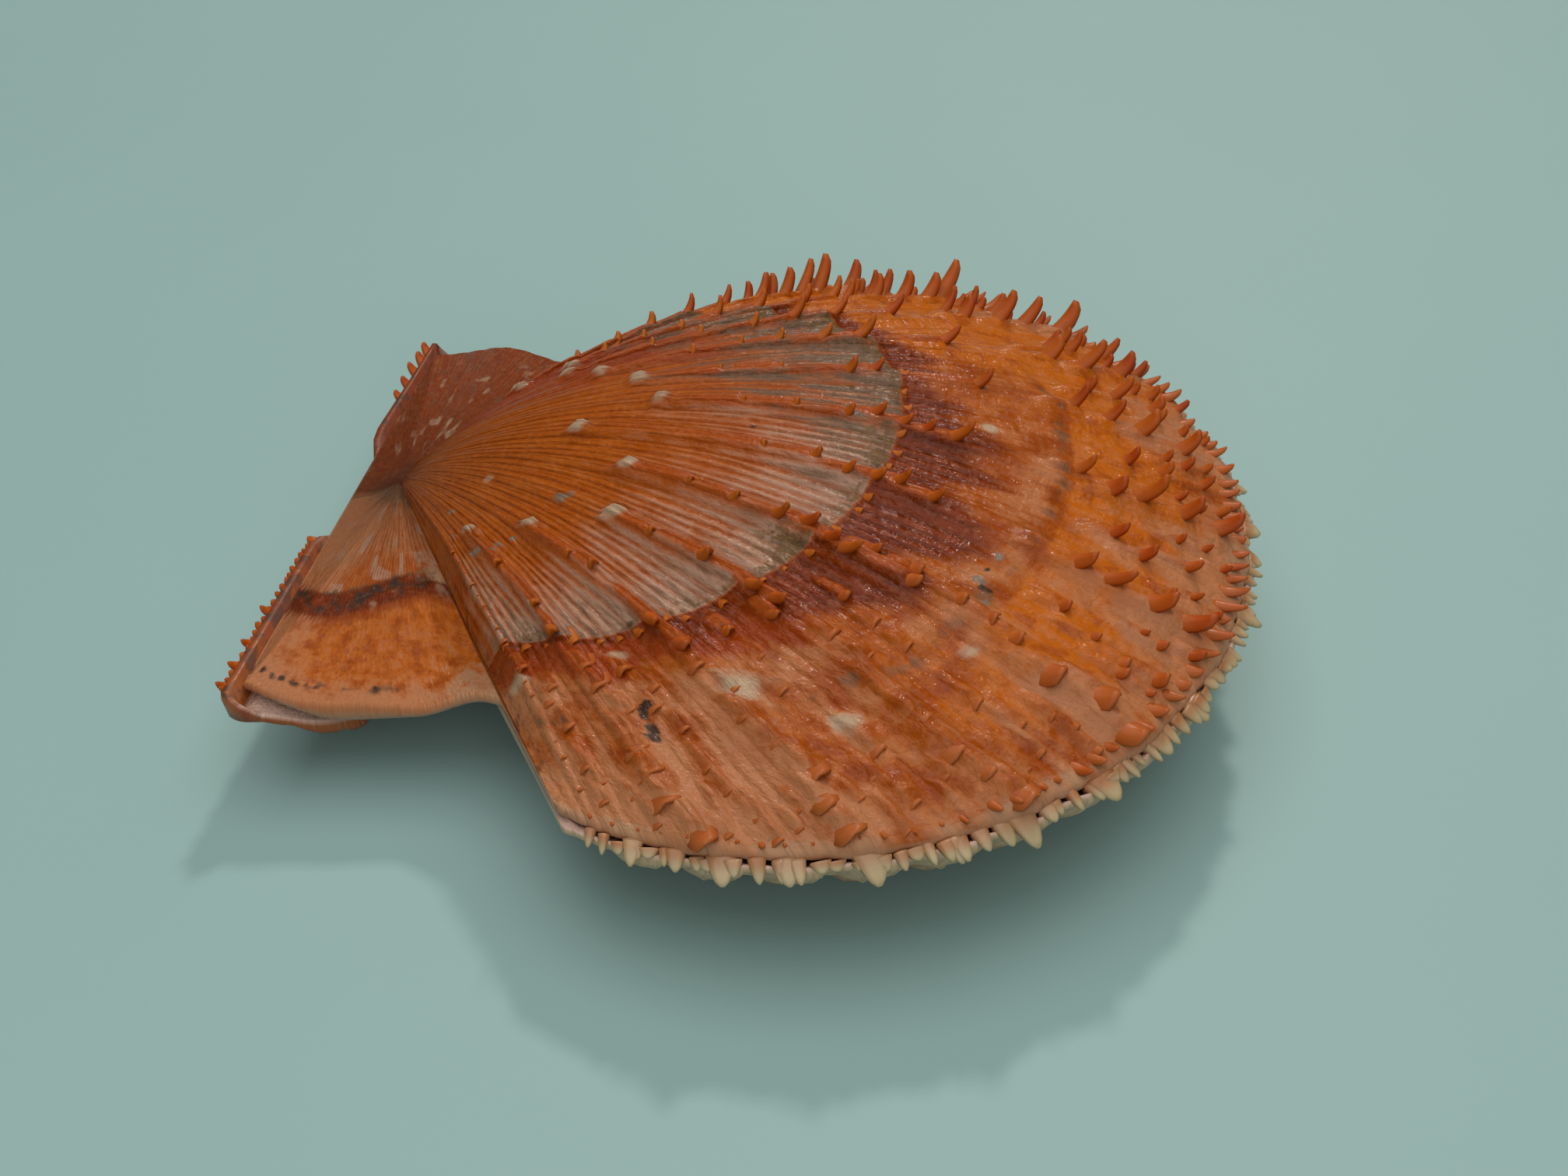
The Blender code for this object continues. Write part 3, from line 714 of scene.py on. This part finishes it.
def add_scale(sheets, axes, length, width, lift, hollow, thickness, blunt, tone, pale, rho):
    """One hollow scale or spine: it starts low over the face and curls up, hollow toward the margin."""
    point, down, side, out = axes
    s = np.linspace(0.0, 1.0, SCALE_STATIONS)
    climb = lift[0] + (lift[1] - lift[0]) * s ** 1.2
    step = length / (SCALE_STATIONS - 1)
    middle = 0.5 * (climb[1:] + climb[:-1])
    along = np.concatenate([[0.0], np.cumsum(np.cos(middle) * step)])
    up = np.concatenate([[0.0], np.cumsum(np.sin(middle) * step)])
    sunk = point - out * 0.45 - down * 0.35 * length
    taper = (1.0 - (1.0 - blunt) * s) * np.sqrt(np.maximum(1.0 - (s * 0.985) ** 7, 0.0))
    half = 0.5 * width * taper
    spread = np.linspace(-1.0, 1.0, SCALE_ARC)
    rings = []
    for station in range(SCALE_STATIONS):
        centre = sunk + down * along[station] + out * up[station]
        face = down * math.sin(climb[station]) - out * math.cos(climb[station])
        thin = thickness * (1.0 - (0.9 - 0.5 * blunt) * s[station])
        back = [centre + side * half[station] * a + face * (hollow * half[station] * a * a - 0.5 * thin) for a in spread]
        front = [centre + side * half[station] * a * 0.9 + face * (hollow * half[station] * a * a + 0.5 * thin * (1 - 0.6 * a * a))
                 for a in spread[::-1]]
        rings.append(back + front)
    ring_size = 2 * SCALE_ARC
    points = np.array(rings).reshape(-1, 3)
    faces = []
    for station in range(SCALE_STATIONS - 1):
        a = station * ring_size
        for i in range(ring_size):
            j = (i + 1) % ring_size
            faces.append((a + i, a + j, a + ring_size + j, a + ring_size + i))
    last = (SCALE_STATIONS - 1) * ring_size
    faces.append(tuple(range(ring_size - 1, -1, -1)))
    faces.append(tuple(range(last, last + ring_size)))
    handed = float(np.dot(np.cross(down, side), out))
    if handed > 0.0:
        faces = [face[::-1] for face in faces]
    tip = np.repeat(s, ring_size)
    sheets.add(points, faces, tip=tip, tone=tone, pale=pale, rho=rho)


def left_spine_places():
    """Spines of the left valve as (angle, rho, length, width, rho where the ridge to it starts)."""
    rng = np.random.default_rng(11)
    places = []
    pitch = RIB_PITCH["left"]
    for rib, stops in INNER_SPINES.items():
        start = BAND_STARTS[rib]
        for rho in stops:
            size = (1.5 + 2.2 * float(smooth(0.46, 0.58, rho))) * (1.0 - 0.32 * float(smooth(20.0, 8.0, abs(rib * pitch))
                                                                                   * smooth(0.68, 0.60, rho)))
            angle = rib * pitch + rng.uniform(-0.5, 0.5)
            places.append((angle, rho, size * rng.uniform(0.8, 1.05), 1.35, max(start, rho - 0.09)))
            start = rho
    for rib in range(-5, 6):
        start = 0.77
        rho = 0.805 + rng.uniform(0.0, 0.045)
        while rho < 0.985:
            grown = float(smooth(0.78, 0.93, rho))
            size = (2.6 + 1.2 * grown + 0.5 * float(smooth(12.0, 35.0, rib * pitch))) * rng.uniform(0.75, 1.2)
            places.append((rib * pitch + rng.uniform(-0.8, 0.8), rho, size, (1.7 + 0.5 * grown) * rng.uniform(0.8, 1.2), start))
            start = rho
            rho += rng.uniform(0.036, 0.056)
    for half in range(-11, 12, 2):
        start = 0.82
        rho = 0.845 + rng.uniform(0.0, 0.04)
        while rho < 0.985:
            places.append((0.5 * half * pitch + rng.uniform(-0.9, 0.9), rho, rng.uniform(1.5, 2.6) * (1.0 + 0.3 * (half > 2)),
                           rng.uniform(1.2, 1.8), start))
            start = rho
            rho += rng.uniform(0.032, 0.05)
    for quarter in range(-21, 22, 2):
        rho = 0.92 + rng.uniform(0.0, 0.025)
        while rho < 0.995:
            places.append((0.25 * quarter * pitch + rng.uniform(-0.6, 0.6), rho, rng.uniform(1.0, 2.0), rng.uniform(0.9, 1.4), rho - 0.03))
            rho += rng.uniform(0.02, 0.034)
    for half in range(-11, -3):
        rho = 0.65 + rng.uniform(0.0, 0.04)
        while rho < 0.81:
            places.append((0.5 * half * pitch + rng.uniform(-1.2, 1.2), rho, rng.uniform(1.5, 2.7), rng.uniform(1.2, 1.9), rho - 0.03))
            rho += rng.uniform(0.032, 0.06)
    return places


def add_left_spines(sheets, valve, places):
    rng = np.random.default_rng(29)
    for angle, rho, length, width, _start in places:
        low_side = float(smooth(-4.0, -30.0, angle) * smooth(0.62, 0.72, rho))
        outer = float(smooth(0.70, 0.80, rho))
        upright = outer * float(smooth(-10.0, 12.0, angle))
        lift_end = 1.25 + 0.15 * upright - 0.55 * low_side + rng.uniform(-0.2, 0.2)
        reach = (length + 0.55) * (1.0 - 0.40 * low_side) * (1.0 - 0.16 * upright)
        blunt = rng.uniform(0.30, 0.55) + 0.40 * low_side + 0.28 * outer * (1.0 - low_side)
        thickness = (0.70 + 0.11 * length) * (1.0 - 0.4 * low_side) * (1.0 - 0.2 * outer)
        point, down, side, out = valve.disc_axes(angle, rho)
        axes = (point + (0.25 + 0.2 * upright) * outer * (1.0 - low_side) * out, down, side, out)
        lift_start = 0.30 + 0.12 * outer * (1.0 - low_side) + 0.55 * upright
        wide = width * (1.0 - 0.20 * outer * (1.0 - low_side)) * (1.0 + 0.50 * low_side)
        add_scale(sheets, axes, reach, wide, (lift_start, lift_end), 0.8 - 0.3 * low_side, thickness, blunt,
                  rng.random(), low_side, rho)
    angle = -DISC_CREST_ANGLE
    while angle < 52.0:
        point, down, side, out = valve.disc_axes(angle, 0.993)
        grown = 0.45 + 0.55 * float(smooth(-38.0, -12.0, angle))
        size = rng.uniform(1.2, 2.9) * grown
        add_scale(sheets, (point + 0.25 * grown * out, down, side, out), size, rng.uniform(1.0, 1.9) * grown,
                  (rng.uniform(0.3, 0.7), rng.uniform(0.6, 1.2)), 0.6, 0.45, 0.45, rng.random(),
                  1.0 - rng.uniform(0.1, 0.8) * grown, 0.995)
        angle += rng.uniform(1.0, 1.9)
    angle = -DISC_CREST_ANGLE
    while angle < 12.0:
        axes = valve.disc_axes(angle, GROWTH_STOPS[0] - 0.004)
        add_scale(sheets, axes, rng.uniform(1.3, 2.0), rng.uniform(1.1, 1.9), (0.12, 0.65), 0.7, 0.32, 0.75,
                  rng.random(), 0.0, 0.50)
        angle += rng.uniform(1.8, 3.8)
    for sign in (-1.0, 1.0):
        for rho in np.arange(0.34, 0.97, 0.033):
            axes = valve.disc_axes(sign * (DISC_CREST_ANGLE - 0.2), rho)
            add_scale(sheets, axes, rng.uniform(0.8, 1.5), rng.uniform(0.7, 1.2), (0.2, 0.9), 0.6, 0.35, 0.6,
                      rng.random(), 0.5, rho)


def right_scale_places():
    """Scales of the right valve as (angle, rho, length, width, rho where the ridge to it starts)."""
    rng = np.random.default_rng(5)
    places = []
    for rib in range(-11, 12):
        rho = 0.34 + rng.uniform(0.0, 0.04)
        while rho < 0.965:
            angle = rib * RIB_PITCH["right"]
            plan = BEAK + rho * (margin(np.array([angle]), "right")[0] - BEAK)
            step = rng.uniform(0.026, 0.042)
            if np.linalg.norm(plan - REST_SPOT) > 15.0:
                places.append((angle, rho, 0.7 + 0.8 * rho * rng.uniform(0.7, 1.2), 1.0 + 1.5 * rho, rho - step))
            rho += step
    return places


def unit(vector):
    return vector / np.linalg.norm(vector)


def hinge_spine_places():
    """Beads and spines along the folded hinge edge as (x, length, width)."""
    rng = np.random.default_rng(17)
    beads = []
    x = -27.2
    while x < -7.0:
        beads.append((x, rng.uniform(0.15, 0.6), rng.uniform(0.7, 1.3)))
        x += rng.uniform(0.6, 1.3)
    front = [(x, 1.2, 1.1) for x in (-26.9, -24.4, -21.6, -17.5)]
    rear = [(15.2, 0.9, 1.2), (17.4, 1.2, 1.4), (19.6, 1.5, 1.5), (21.5, 1.4, 1.5), (23.2, 1.4, 1.4)]
    return beads + front + rear


def add_hinge_spines(sheets):
    rng = np.random.default_rng(19)
    for x, length, width in hinge_spine_places():
        lean = 0.5 if abs(x) > 20.0 else 0.2
        down = unit(np.array([math.copysign(lean, x), 0.75, 0.5]))
        side = unit(np.cross(np.array([0.0, -0.5, 0.85]), down))
        out = np.cross(down, side)
        point = np.array([x, fold_reach(x) - 0.2, FOLD_TOP - 0.25])
        add_scale(sheets, (point, down, side, out * math.copysign(1.0, out[2])), length + 0.4, width, (0.0, 0.5), 0.5,
                  0.55, 0.5, rng.random(), 0.0, 0.8)


def add_right_scales(sheets, valve, places):
    rng = np.random.default_rng(31)
    for angle, rho, length, width, _start in places:
        axes = valve.disc_axes(angle, rho)
        add_scale(sheets, axes, length + 0.3, width, (0.15, 0.75), 0.55, 0.32, 0.75, rng.random(), 0.0, rho)
    up = np.array([0.0, 0.0, 1.0])
    teeth = [(rib * RIB_PITCH["right"] + rng.uniform(-0.8, 0.8), rng.uniform(0.9, 2.3), rng.uniform(1.7, 2.9))
             for rib in range(-12, 13)]
    angle = -53.5
    while angle < 53.5:
        teeth.append((angle, rng.uniform(0.35, 1.35), rng.uniform(0.9, 1.9)))
        angle += rng.uniform(0.6, 1.5)
    for angle, length, width in teeth:
        if abs(angle) > RIB_SPAN["right"] + 4.0:
            continue
        length *= 1.0 - 0.40 * float(smooth(-6.0, 12.0, angle))
        root = valve.disc_point(angle, 1.0)
        away = unit(np.array([root[0] / HALF_LENGTH ** 2, (root[1] - WIDEST_Y) / (HEIGHT + WIDEST_Y) ** 2, 0.0]))
        ribwise = unit(np.array([root[0] - BEAK[0], root[1] - BEAK[1], 0.0]))
        lean = unit(0.7 * away + 0.3 * ribwise - rng.uniform(0.15, 0.45) * up)
        low = unit(-up - lean * np.dot(-up, lean))
        root[2] = -rng.uniform(0.36, 0.50) - 0.05 * length
        add_scale(sheets, (root, lean, np.cross(low, lean), low), length / 0.65, width, (0.0, 0.35), 0.15, 0.60 + 0.22 * length, 0.40,
                  rng.random(), 0.0, 1.0)


class Paint:
    """A node material being put together."""

    def __init__(self, name):
        self.material = bpy.data.materials.new(name)
        self.material.use_nodes = True
        self.tree = self.material.node_tree
        self.shader = self.tree.nodes["Principled BSDF"]

    def node(self, kind, **settings):
        made = self.tree.nodes.new(kind)
        for key, value in settings.items():
            setattr(made, key, value)
        return made

    def feed(self, socket, value):
        if isinstance(value, bpy.types.NodeSocket):
            self.tree.links.new(value, socket)
        else:
            socket.default_value = value

    def attribute(self, name):
        return self.node("ShaderNodeAttribute", attribute_name=name).outputs["Fac"]

    def math(self, operation, first, second=0.0):
        made = self.node("ShaderNodeMath", operation=operation)
        self.feed(made.inputs[0], first)
        self.feed(made.inputs[1], second)
        return made.outputs[0]

    def between(self, value, low, high, start=0.0, end=1.0):
        """Soft step of a value from start at low to end at high."""
        made = self.node("ShaderNodeMapRange", interpolation_type="SMOOTHSTEP")
        for socket, given in zip(made.inputs, (value, low, high, start, end)):
            self.feed(socket, given)
        return made.outputs[0]

    def mix(self, factor, first, second):
        made = self.node("ShaderNodeMix", data_type="RGBA")
        self.feed(made.inputs[0], factor)
        self.feed(made.inputs[6], first)
        self.feed(made.inputs[7], second)
        return made.outputs[2]

    def shell_noise(self, across, along, scale=1.0, detail=3.0, roughness=0.6):
        """Noise stretched over the shell: its size across the ribs and along them."""
        place = self.node("ShaderNodeCombineXYZ")
        self.feed(place.inputs[0], self.math("MULTIPLY", self.attribute("angle"), across))
        self.feed(place.inputs[1], self.math("MULTIPLY", self.attribute("rho"), along))
        made = self.node("ShaderNodeTexNoise")
        self.feed(made.inputs["Vector"], place.outputs[0])
        self.feed(made.inputs["Scale"], scale)
        self.feed(made.inputs["Detail"], detail)
        self.feed(made.inputs["Roughness"], roughness)
        return self.between(made.outputs["Fac"], 0.30, 0.70)

    def space_noise(self, scale, detail=4.0):
        place = self.node("ShaderNodeTexCoord")
        made = self.node("ShaderNodeTexNoise")
        self.feed(made.inputs["Vector"], place.outputs["Object"])
        self.feed(made.inputs["Scale"], scale)
        self.feed(made.inputs["Detail"], detail)
        return made.outputs["Fac"]

    def cover(self, name, texture, softness):
        """1 on as large a share of the texture as the vertex mask says, with soft edges."""
        share = self.math("MULTIPLY", self.attribute(name), 1.0 + softness)
        return self.between(self.math("ADD", share, texture), 1.0, 1.0 + softness)

    def grooves(self, pitch, sharpness):
        """1 in the thin grooves between riblets, 0 on them."""
        turn = self.math("MULTIPLY", self.attribute("line"), math.pi / pitch)
        crest = self.math("ABSOLUTE", self.math("SINE", turn))
        return self.math("POWER", self.math("SUBTRACT", 1.0, crest), sharpness)

    def crests(self, pitch):
        """1 along the crests of riblets and 0 between them."""
        turn = self.math("MULTIPLY", self.attribute("line"), math.pi / pitch)
        return self.math("ABSOLUTE", self.math("SINE", turn))

    def bump(self, height, distance, normal=None):
        made = self.node("ShaderNodeBump")
        made.inputs["Distance"].default_value = distance
        self.feed(made.inputs["Height"], height)
        if normal is not None:
            self.feed(made.inputs["Normal"], normal)
        return made.outputs[0]


def growth_bump(paint, riblet, lines):
    """Fine growth lines and pits, over rounded riblets."""
    lamellae = paint.shell_noise(0.5, lines, detail=2.0)
    rough = paint.shell_noise(1.6, 48.0, detail=3.0)
    height = paint.math("ADD", paint.math("MULTIPLY", lamellae, 0.30), paint.math("MULTIPLY", rough, 0.9))
    crest = paint.math("MULTIPLY", paint.crests(riblet), paint.attribute("riblet"))
    height = paint.math("ADD", height, paint.math("MULTIPLY", crest, 0.9))
    return paint.bump(height, 0.00010)


def left_valve_material():
    paint = Paint("left_valve_shell")
    streak = paint.shell_noise(0.8, 7.0, detail=2.0)
    thread = paint.shell_noise(1.2, 12.0, detail=2.0)
    blot = paint.shell_noise(0.30, 16.0, detail=5.0)
    speck = paint.between(paint.space_noise(700.0), 0.35, 0.65)
    grain = paint.between(paint.space_noise(1900.0, 2.0), 0.35, 0.65)
    riblet = RIB_PITCH["left"] / RIBLETS_PER_RIB["left"]
    widened = paint.between(paint.attribute("rho"), 0.25, 0.5)
    crest = paint.math("MULTIPLY", paint.math("POWER", paint.crests(riblet), 2.0), widened)
    crest = paint.math("ADD", crest, paint.math("MULTIPLY", paint.crests(2.0 * riblet), paint.math("SUBTRACT", 1.0, widened)))
    ribbed = paint.math("ADD", paint.math("MULTIPLY", crest, 0.42), paint.math("MULTIPLY", streak, 0.22))
    ribbed = paint.math("ADD", ribbed, paint.math("MULTIPLY", blot, 0.36))
    grime = paint.math("ADD", paint.math("MULTIPLY", grain, 0.45), paint.math("MULTIPLY", blot, 0.55))
    soft = paint.math("ADD", paint.math("MULTIPLY", ribbed, 0.12), paint.math("MULTIPLY", blot, 0.88))
    late = paint.between(paint.attribute("rho"), 0.58, 0.74)
    mottle = paint.math("ADD", paint.math("MULTIPLY", soft, late), paint.math("MULTIPLY", ribbed, paint.math("SUBTRACT", 1.0, late)))
    colour = paint.mix(mottle, linear(146, 62, 6), linear(184, 92, 18))
    colour = paint.mix(paint.between(blot, 0.45, 0.9, 0.0, 0.35), colour, linear(176, 92, 30))
    colour = paint.mix(paint.cover("bright", blot, 1.0), colour, linear(190, 97, 16))
    spots = paint.shell_noise(0.42, 30.0, detail=3.0)
    colour = paint.mix(paint.math("MULTIPLY", paint.between(spots, 0.55, 1.0, 0.0, 0.55), late), colour, linear(148, 58, 12))
    colour = paint.mix(paint.math("MULTIPLY", paint.between(spots, 0.40, 0.0, 0.0, 0.40), late), colour, linear(190, 116, 66))
    colour = paint.mix(paint.cover("red", streak, 1.0), colour, linear(150, 58, 12))
    colour = paint.mix(paint.cover("pink", mottle, 1.1), colour, linear(184, 118, 76))
    colour = paint.mix(paint.cover("white", ribbed, 1.1), colour, linear(178, 140, 116))
    colour = paint.mix(paint.cover("grey", thread, 1.0), colour, linear(114, 86, 64))
    colour = paint.mix(paint.cover("olive", grime, 0.6), colour, linear(110, 82, 50))
    colour = paint.mix(paint.cover("tongue", blot, 1.4), colour, linear(180, 78, 22))
    # The maroon mixes a darker and a lighter red by the riblet crests and streak noise. This is partly its own streaked
    # colour and partly a painted highlight along the crests.
    colour = paint.mix(paint.cover("maroon", ribbed, 1.2), colour, paint.mix(ribbed, linear(88, 28, 0), linear(136, 52, 4)))
    colour = paint.mix(paint.cover("ridge", blot, 1.3), colour, linear(166, 74, 18))
    colour = paint.mix(paint.cover("rim", blot, 1.5), colour, linear(180, 136, 102))
    colour = paint.mix(paint.cover("edge", blot, 1.0), colour, linear(184, 132, 98))
    colour = paint.mix(paint.cover("chalk", blot, 1.9), colour, linear(184, 154, 124))
    colour = paint.mix(paint.cover("crust", speck, 1.2), colour, linear(136, 114, 94))
    colour = paint.mix(paint.cover("dirt", speck, 0.8), colour, linear(66, 46, 34))
    shade = paint.math("MULTIPLY", paint.grooves(riblet, 3.0), widened)
    shade = paint.math("MULTIPLY", shade, paint.between(thread, 0.0, 1.0, 0.0, 0.14))
    shade = paint.math("MULTIPLY", shade, paint.between(late, 0.0, 1.0, 1.0, 0.45))
    coarse = paint.math("MULTIPLY", paint.grooves(2.0 * riblet, 5.0), paint.between(paint.attribute("rho"), 0.5, 0.25, 0.0, 0.36))
    on_show = paint.math("SUBTRACT", 1.0, paint.attribute("inner"))
    shade = paint.math("MULTIPLY", paint.math("MAXIMUM", shade, coarse), on_show)
    colour = paint.mix(shade, colour, linear(96, 42, 12))
    colour = paint.mix(paint.between(grain, 0.5, 1.0, 0.0, 0.08), colour, linear(206, 140, 96))
    inside = paint.mix(paint.between(paint.attribute("rho"), 0.4, 0.95), linear(190, 96, 50), linear(206, 170, 150))
    colour = paint.mix(paint.attribute("inner"), colour, inside)
    paint.feed(paint.shader.inputs["Base Color"], colour)
    shine = paint.math("MULTIPLY", paint.attribute("ridge"), 0.03)
    roughness = paint.math("SUBTRACT", paint.between(blot, 0.2, 0.8, 0.09, 0.26), shine)
    paint.feed(paint.shader.inputs["Roughness"], roughness)
    paint.shader.inputs["Specular IOR Level"].default_value = 0.17
    paint.feed(paint.shader.inputs["Normal"], growth_bump(paint, riblet, 110.0))
    return paint.material


def spine_material(name):
    paint = Paint(name)
    tip = paint.attribute("tip")
    tone = paint.attribute("tone")
    colour = paint.mix(tone, linear(190, 92, 14), linear(172, 66, 5))
    middle = paint.math("MULTIPLY", paint.between(paint.attribute("rho"), 0.62, 0.5), 0.6)
    colour = paint.mix(middle, colour, linear(190, 108, 22))
    colour = paint.mix(paint.between(tip, 0.6, 1.0, 0.0, 0.4), colour, linear(160, 72, 8))
    colour = paint.mix(paint.between(tip, 0.75, 0.1, 0.0, 1.0), colour, linear(184, 94, 34))
    colour = paint.mix(paint.attribute("pale"), colour, linear(174, 92, 40))
    grain = paint.space_noise(700.0)
    colour = paint.mix(paint.between(grain, 0.5, 0.8, 0.0, 0.25), colour, linear(152, 58, 6))
    paint.feed(paint.shader.inputs["Base Color"], colour)
    paint.feed(paint.shader.inputs["Roughness"], paint.between(grain, 0.3, 0.7, 0.30, 0.44))
    paint.shader.inputs["Specular IOR Level"].default_value = 0.22
    paint.feed(paint.shader.inputs["Normal"], paint.bump(grain, 0.00006))
    return paint.material


def right_valve_material():
    paint = Paint("right_valve_shell")
    streak = paint.shell_noise(1.6, 4.0, detail=5.0)
    blot = paint.shell_noise(0.4, 26.0, detail=4.0)
    speck = paint.between(paint.space_noise(700.0), 0.35, 0.65)
    colour = paint.mix(streak, linear(182, 148, 112), linear(164, 122, 84))
    colour = paint.mix(paint.cover("pink", blot, 0.9), colour, linear(186, 130, 102))
    colour = paint.mix(paint.cover("orange", blot, 0.8), colour, linear(160, 84, 32))
    colour = paint.mix(paint.cover("umber", blot, 0.8), colour, linear(134, 60, 24))
    colour = paint.mix(paint.cover("rim", streak, 0.8), colour, linear(190, 162, 126))
    colour = paint.mix(paint.cover("dirt", speck, 0.8), colour, linear(80, 56, 42))
    shade = paint.math("MULTIPLY", paint.grooves(RIB_PITCH["right"] / 8.0, 3.0), 0.35)
    shade = paint.math("MULTIPLY", shade, paint.math("SUBTRACT", 1.0, paint.attribute("inner")))
    colour = paint.mix(shade, colour, linear(120, 62, 30))
    inside = paint.mix(paint.between(paint.attribute("rho"), 0.4, 0.95), linear(186, 92, 48), linear(206, 170, 150))
    colour = paint.mix(paint.attribute("inner"), colour, inside)
    paint.feed(paint.shader.inputs["Base Color"], colour)
    paint.feed(paint.shader.inputs["Roughness"], paint.between(blot, 0.3, 0.7, 0.36, 0.52))
    paint.feed(paint.shader.inputs["Normal"], growth_bump(paint, RIB_PITCH["right"] / RIBLETS_PER_RIB["right"], 90.0))
    return paint.material


def right_scale_material():
    paint = Paint("right_valve_scales")
    tip = paint.attribute("tip")
    colour = paint.mix(paint.attribute("tone"), linear(182, 140, 100), linear(172, 112, 68))
    colour = paint.mix(paint.between(tip, 0.2, 0.8), colour, linear(184, 164, 124))
    grain = paint.space_noise(700.0)
    colour = paint.mix(paint.between(grain, 0.5, 0.8, 0.0, 0.3), colour, linear(178, 116, 72))
    paint.feed(paint.shader.inputs["Base Color"], colour)
    paint.feed(paint.shader.inputs["Roughness"], paint.between(grain, 0.3, 0.7, 0.30, 0.45))
    paint.shader.inputs["Subsurface Weight"].default_value = 0.12
    paint.shader.inputs["Subsurface Radius"].default_value = (0.002, 0.0012, 0.0008)
    paint.shader.inputs["Subsurface Scale"].default_value = 0.4
    paint.feed(paint.shader.inputs["Normal"], paint.bump(grain, 0.00006))
    return paint.material


def ligament_material():
    paint = Paint("ligament_horn")
    grain = paint.space_noise(1400.0)
    colour = paint.mix(paint.between(grain, 0.35, 0.65), linear(52, 34, 24), linear(84, 56, 36))
    paint.feed(paint.shader.inputs["Base Color"], colour)
    paint.feed(paint.shader.inputs["Roughness"], paint.between(grain, 0.3, 0.7, 0.45, 0.65))
    paint.feed(paint.shader.inputs["Normal"], paint.bump(grain, 0.00008))
    return paint.material


def floor_material():
    paint = Paint("floor")
    grain = paint.space_noise(30.0)
    colour = paint.mix(grain, linear(145, 177, 172), linear(148, 180, 175))
    paint.feed(paint.shader.inputs["Base Color"], colour)
    paint.shader.inputs["Roughness"].default_value = 0.6
    return paint.material


def build_left():
    valve = Valve("left")
    spines = left_spine_places()
    shell = Sheets()
    add_valve(shell, valve, left_marks, spines)
    shell.piece("left_valve_shell", left_valve_material(), "left_valve")
    grown = Sheets()
    add_left_spines(grown, valve, spines)
    grown.piece("left_valve_spines", spine_material("left_valve_spines"))


def build_right():
    valve = Valve("right")
    scales = right_scale_places()
    shell = Sheets()
    add_valve(shell, valve, right_marks, scales)
    shell.piece("right_valve_shell", right_valve_material(), "right_valve")
    grown = Sheets()
    add_right_scales(grown, valve, scales)
    grown.piece("right_valve_scales", right_scale_material())
    beads = Sheets()
    add_hinge_spines(beads)
    beads.piece("right_valve_hinge_spines", spine_material("right_valve_hinge_spines"))


def dress_ligament():
    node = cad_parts["ligament"]
    node.data.materials.clear()
    node.data.materials.append(ligament_material())


# The photograph's camera, with the shell's frame turned and moved as it lay there
CAMERA_LENS = 44.68
CAMERA_DISTANCE = 185.04
CAMERA_ELEVATION = math.radians(42.23)
CAMERA_ROLL = math.radians(1.5)
SHELL_TURNS = (math.radians(80.39), math.radians(-4.58), math.radians(1.44))
SHELL_PLACE = Vector((-39.65, 1.52, 8.26))


def add_camera():
    heading, pitch, bank = SHELL_TURNS
    lay = Matrix.Rotation(heading, 3, "Z") @ Matrix.Rotation(pitch, 3, "X") @ Matrix.Rotation(bank, 3, "Y")
    s, c = math.sin(CAMERA_ELEVATION), math.cos(CAMERA_ELEVATION)
    eye = Vector((0.0, -CAMERA_DISTANCE * c, CAMERA_DISTANCE * s))
    forward, right, up = Vector((0.0, c, -s)), Vector((1.0, 0.0, 0.0)), Vector((0.0, s, c))
    right, up = (
        math.cos(CAMERA_ROLL) * right + math.sin(CAMERA_ROLL) * up,
        math.cos(CAMERA_ROLL) * up - math.sin(CAMERA_ROLL) * right,
    )
    back_to_row = Matrix.Rotation(REST_TILT, 3, "X") @ lay.transposed()
    place = (back_to_row @ (eye - SHELL_PLACE) + SHIFT) * MM
    axes = Matrix([back_to_row @ right, back_to_row @ up, back_to_row @ -forward]).transposed()
    data = bpy.data.cameras.new("camera")
    data.lens = CAMERA_LENS
    data.sensor_width = 36.0
    data.clip_start = 0.01
    made = bpy.data.objects.new("camera", data)
    made.matrix_world = Matrix.Translation(place) @ axes.to_4x4()
    bpy.context.scene.collection.objects.link(made)
    bpy.context.scene.camera = made
    return made


def add_light(name, place, size, power, colour=(1.0, 1.0, 1.0)):
    data = bpy.data.lights.new(name, "AREA")
    data.shape = "SQUARE"
    data.size = size
    data.energy = power
    data.color = colour
    made = bpy.data.objects.new(name, data)
    made.location = place
    made.rotation_euler = (-Vector(place)).to_track_quat("-Z", "Y").to_euler()
    bpy.context.scene.collection.objects.link(made)


def add_studio(camera):
    mesh = bpy.data.meshes.new("floor")
    half = 3.0
    mesh.from_pydata([(-half, -half, 0.0), (half, -half, 0.0), (half, half, 0.0), (-half, half, 0.0)], [], [(0, 1, 2, 3)])
    mesh.materials.append(floor_material())
    floor = bpy.data.objects.new("floor", mesh)
    bpy.context.scene.collection.objects.link(floor)
    flat = Vector((camera.location.x, camera.location.y, 0.0)).normalized()
    across = Vector((-flat.y, flat.x, 0.0))
    add_light("overhead", Vector((0.0, 0.0, 0.9)), 1.1, 5.9)
    add_light("behind", -1.6 * flat + 0.35 * across + Vector((0.0, 0.0, 1.6)), 0.18, 15.0, (1.0, 0.95, 0.88))
    add_light("front", 0.8 * flat + Vector((0.0, 0.0, 0.5)), 0.8, 2.3)
    world = bpy.data.worlds.new("studio")
    world.use_nodes = True
    background = world.node_tree.nodes["Background"]
    background.inputs["Color"].default_value = (0.86, 0.88, 0.88, 1.0)
    background.inputs["Strength"].default_value = 0.13
    bpy.context.scene.world = world
    bpy.context.scene.view_settings.view_transform = "Standard"


build_left()
build_right()
dress_ligament()
add_studio(add_camera())
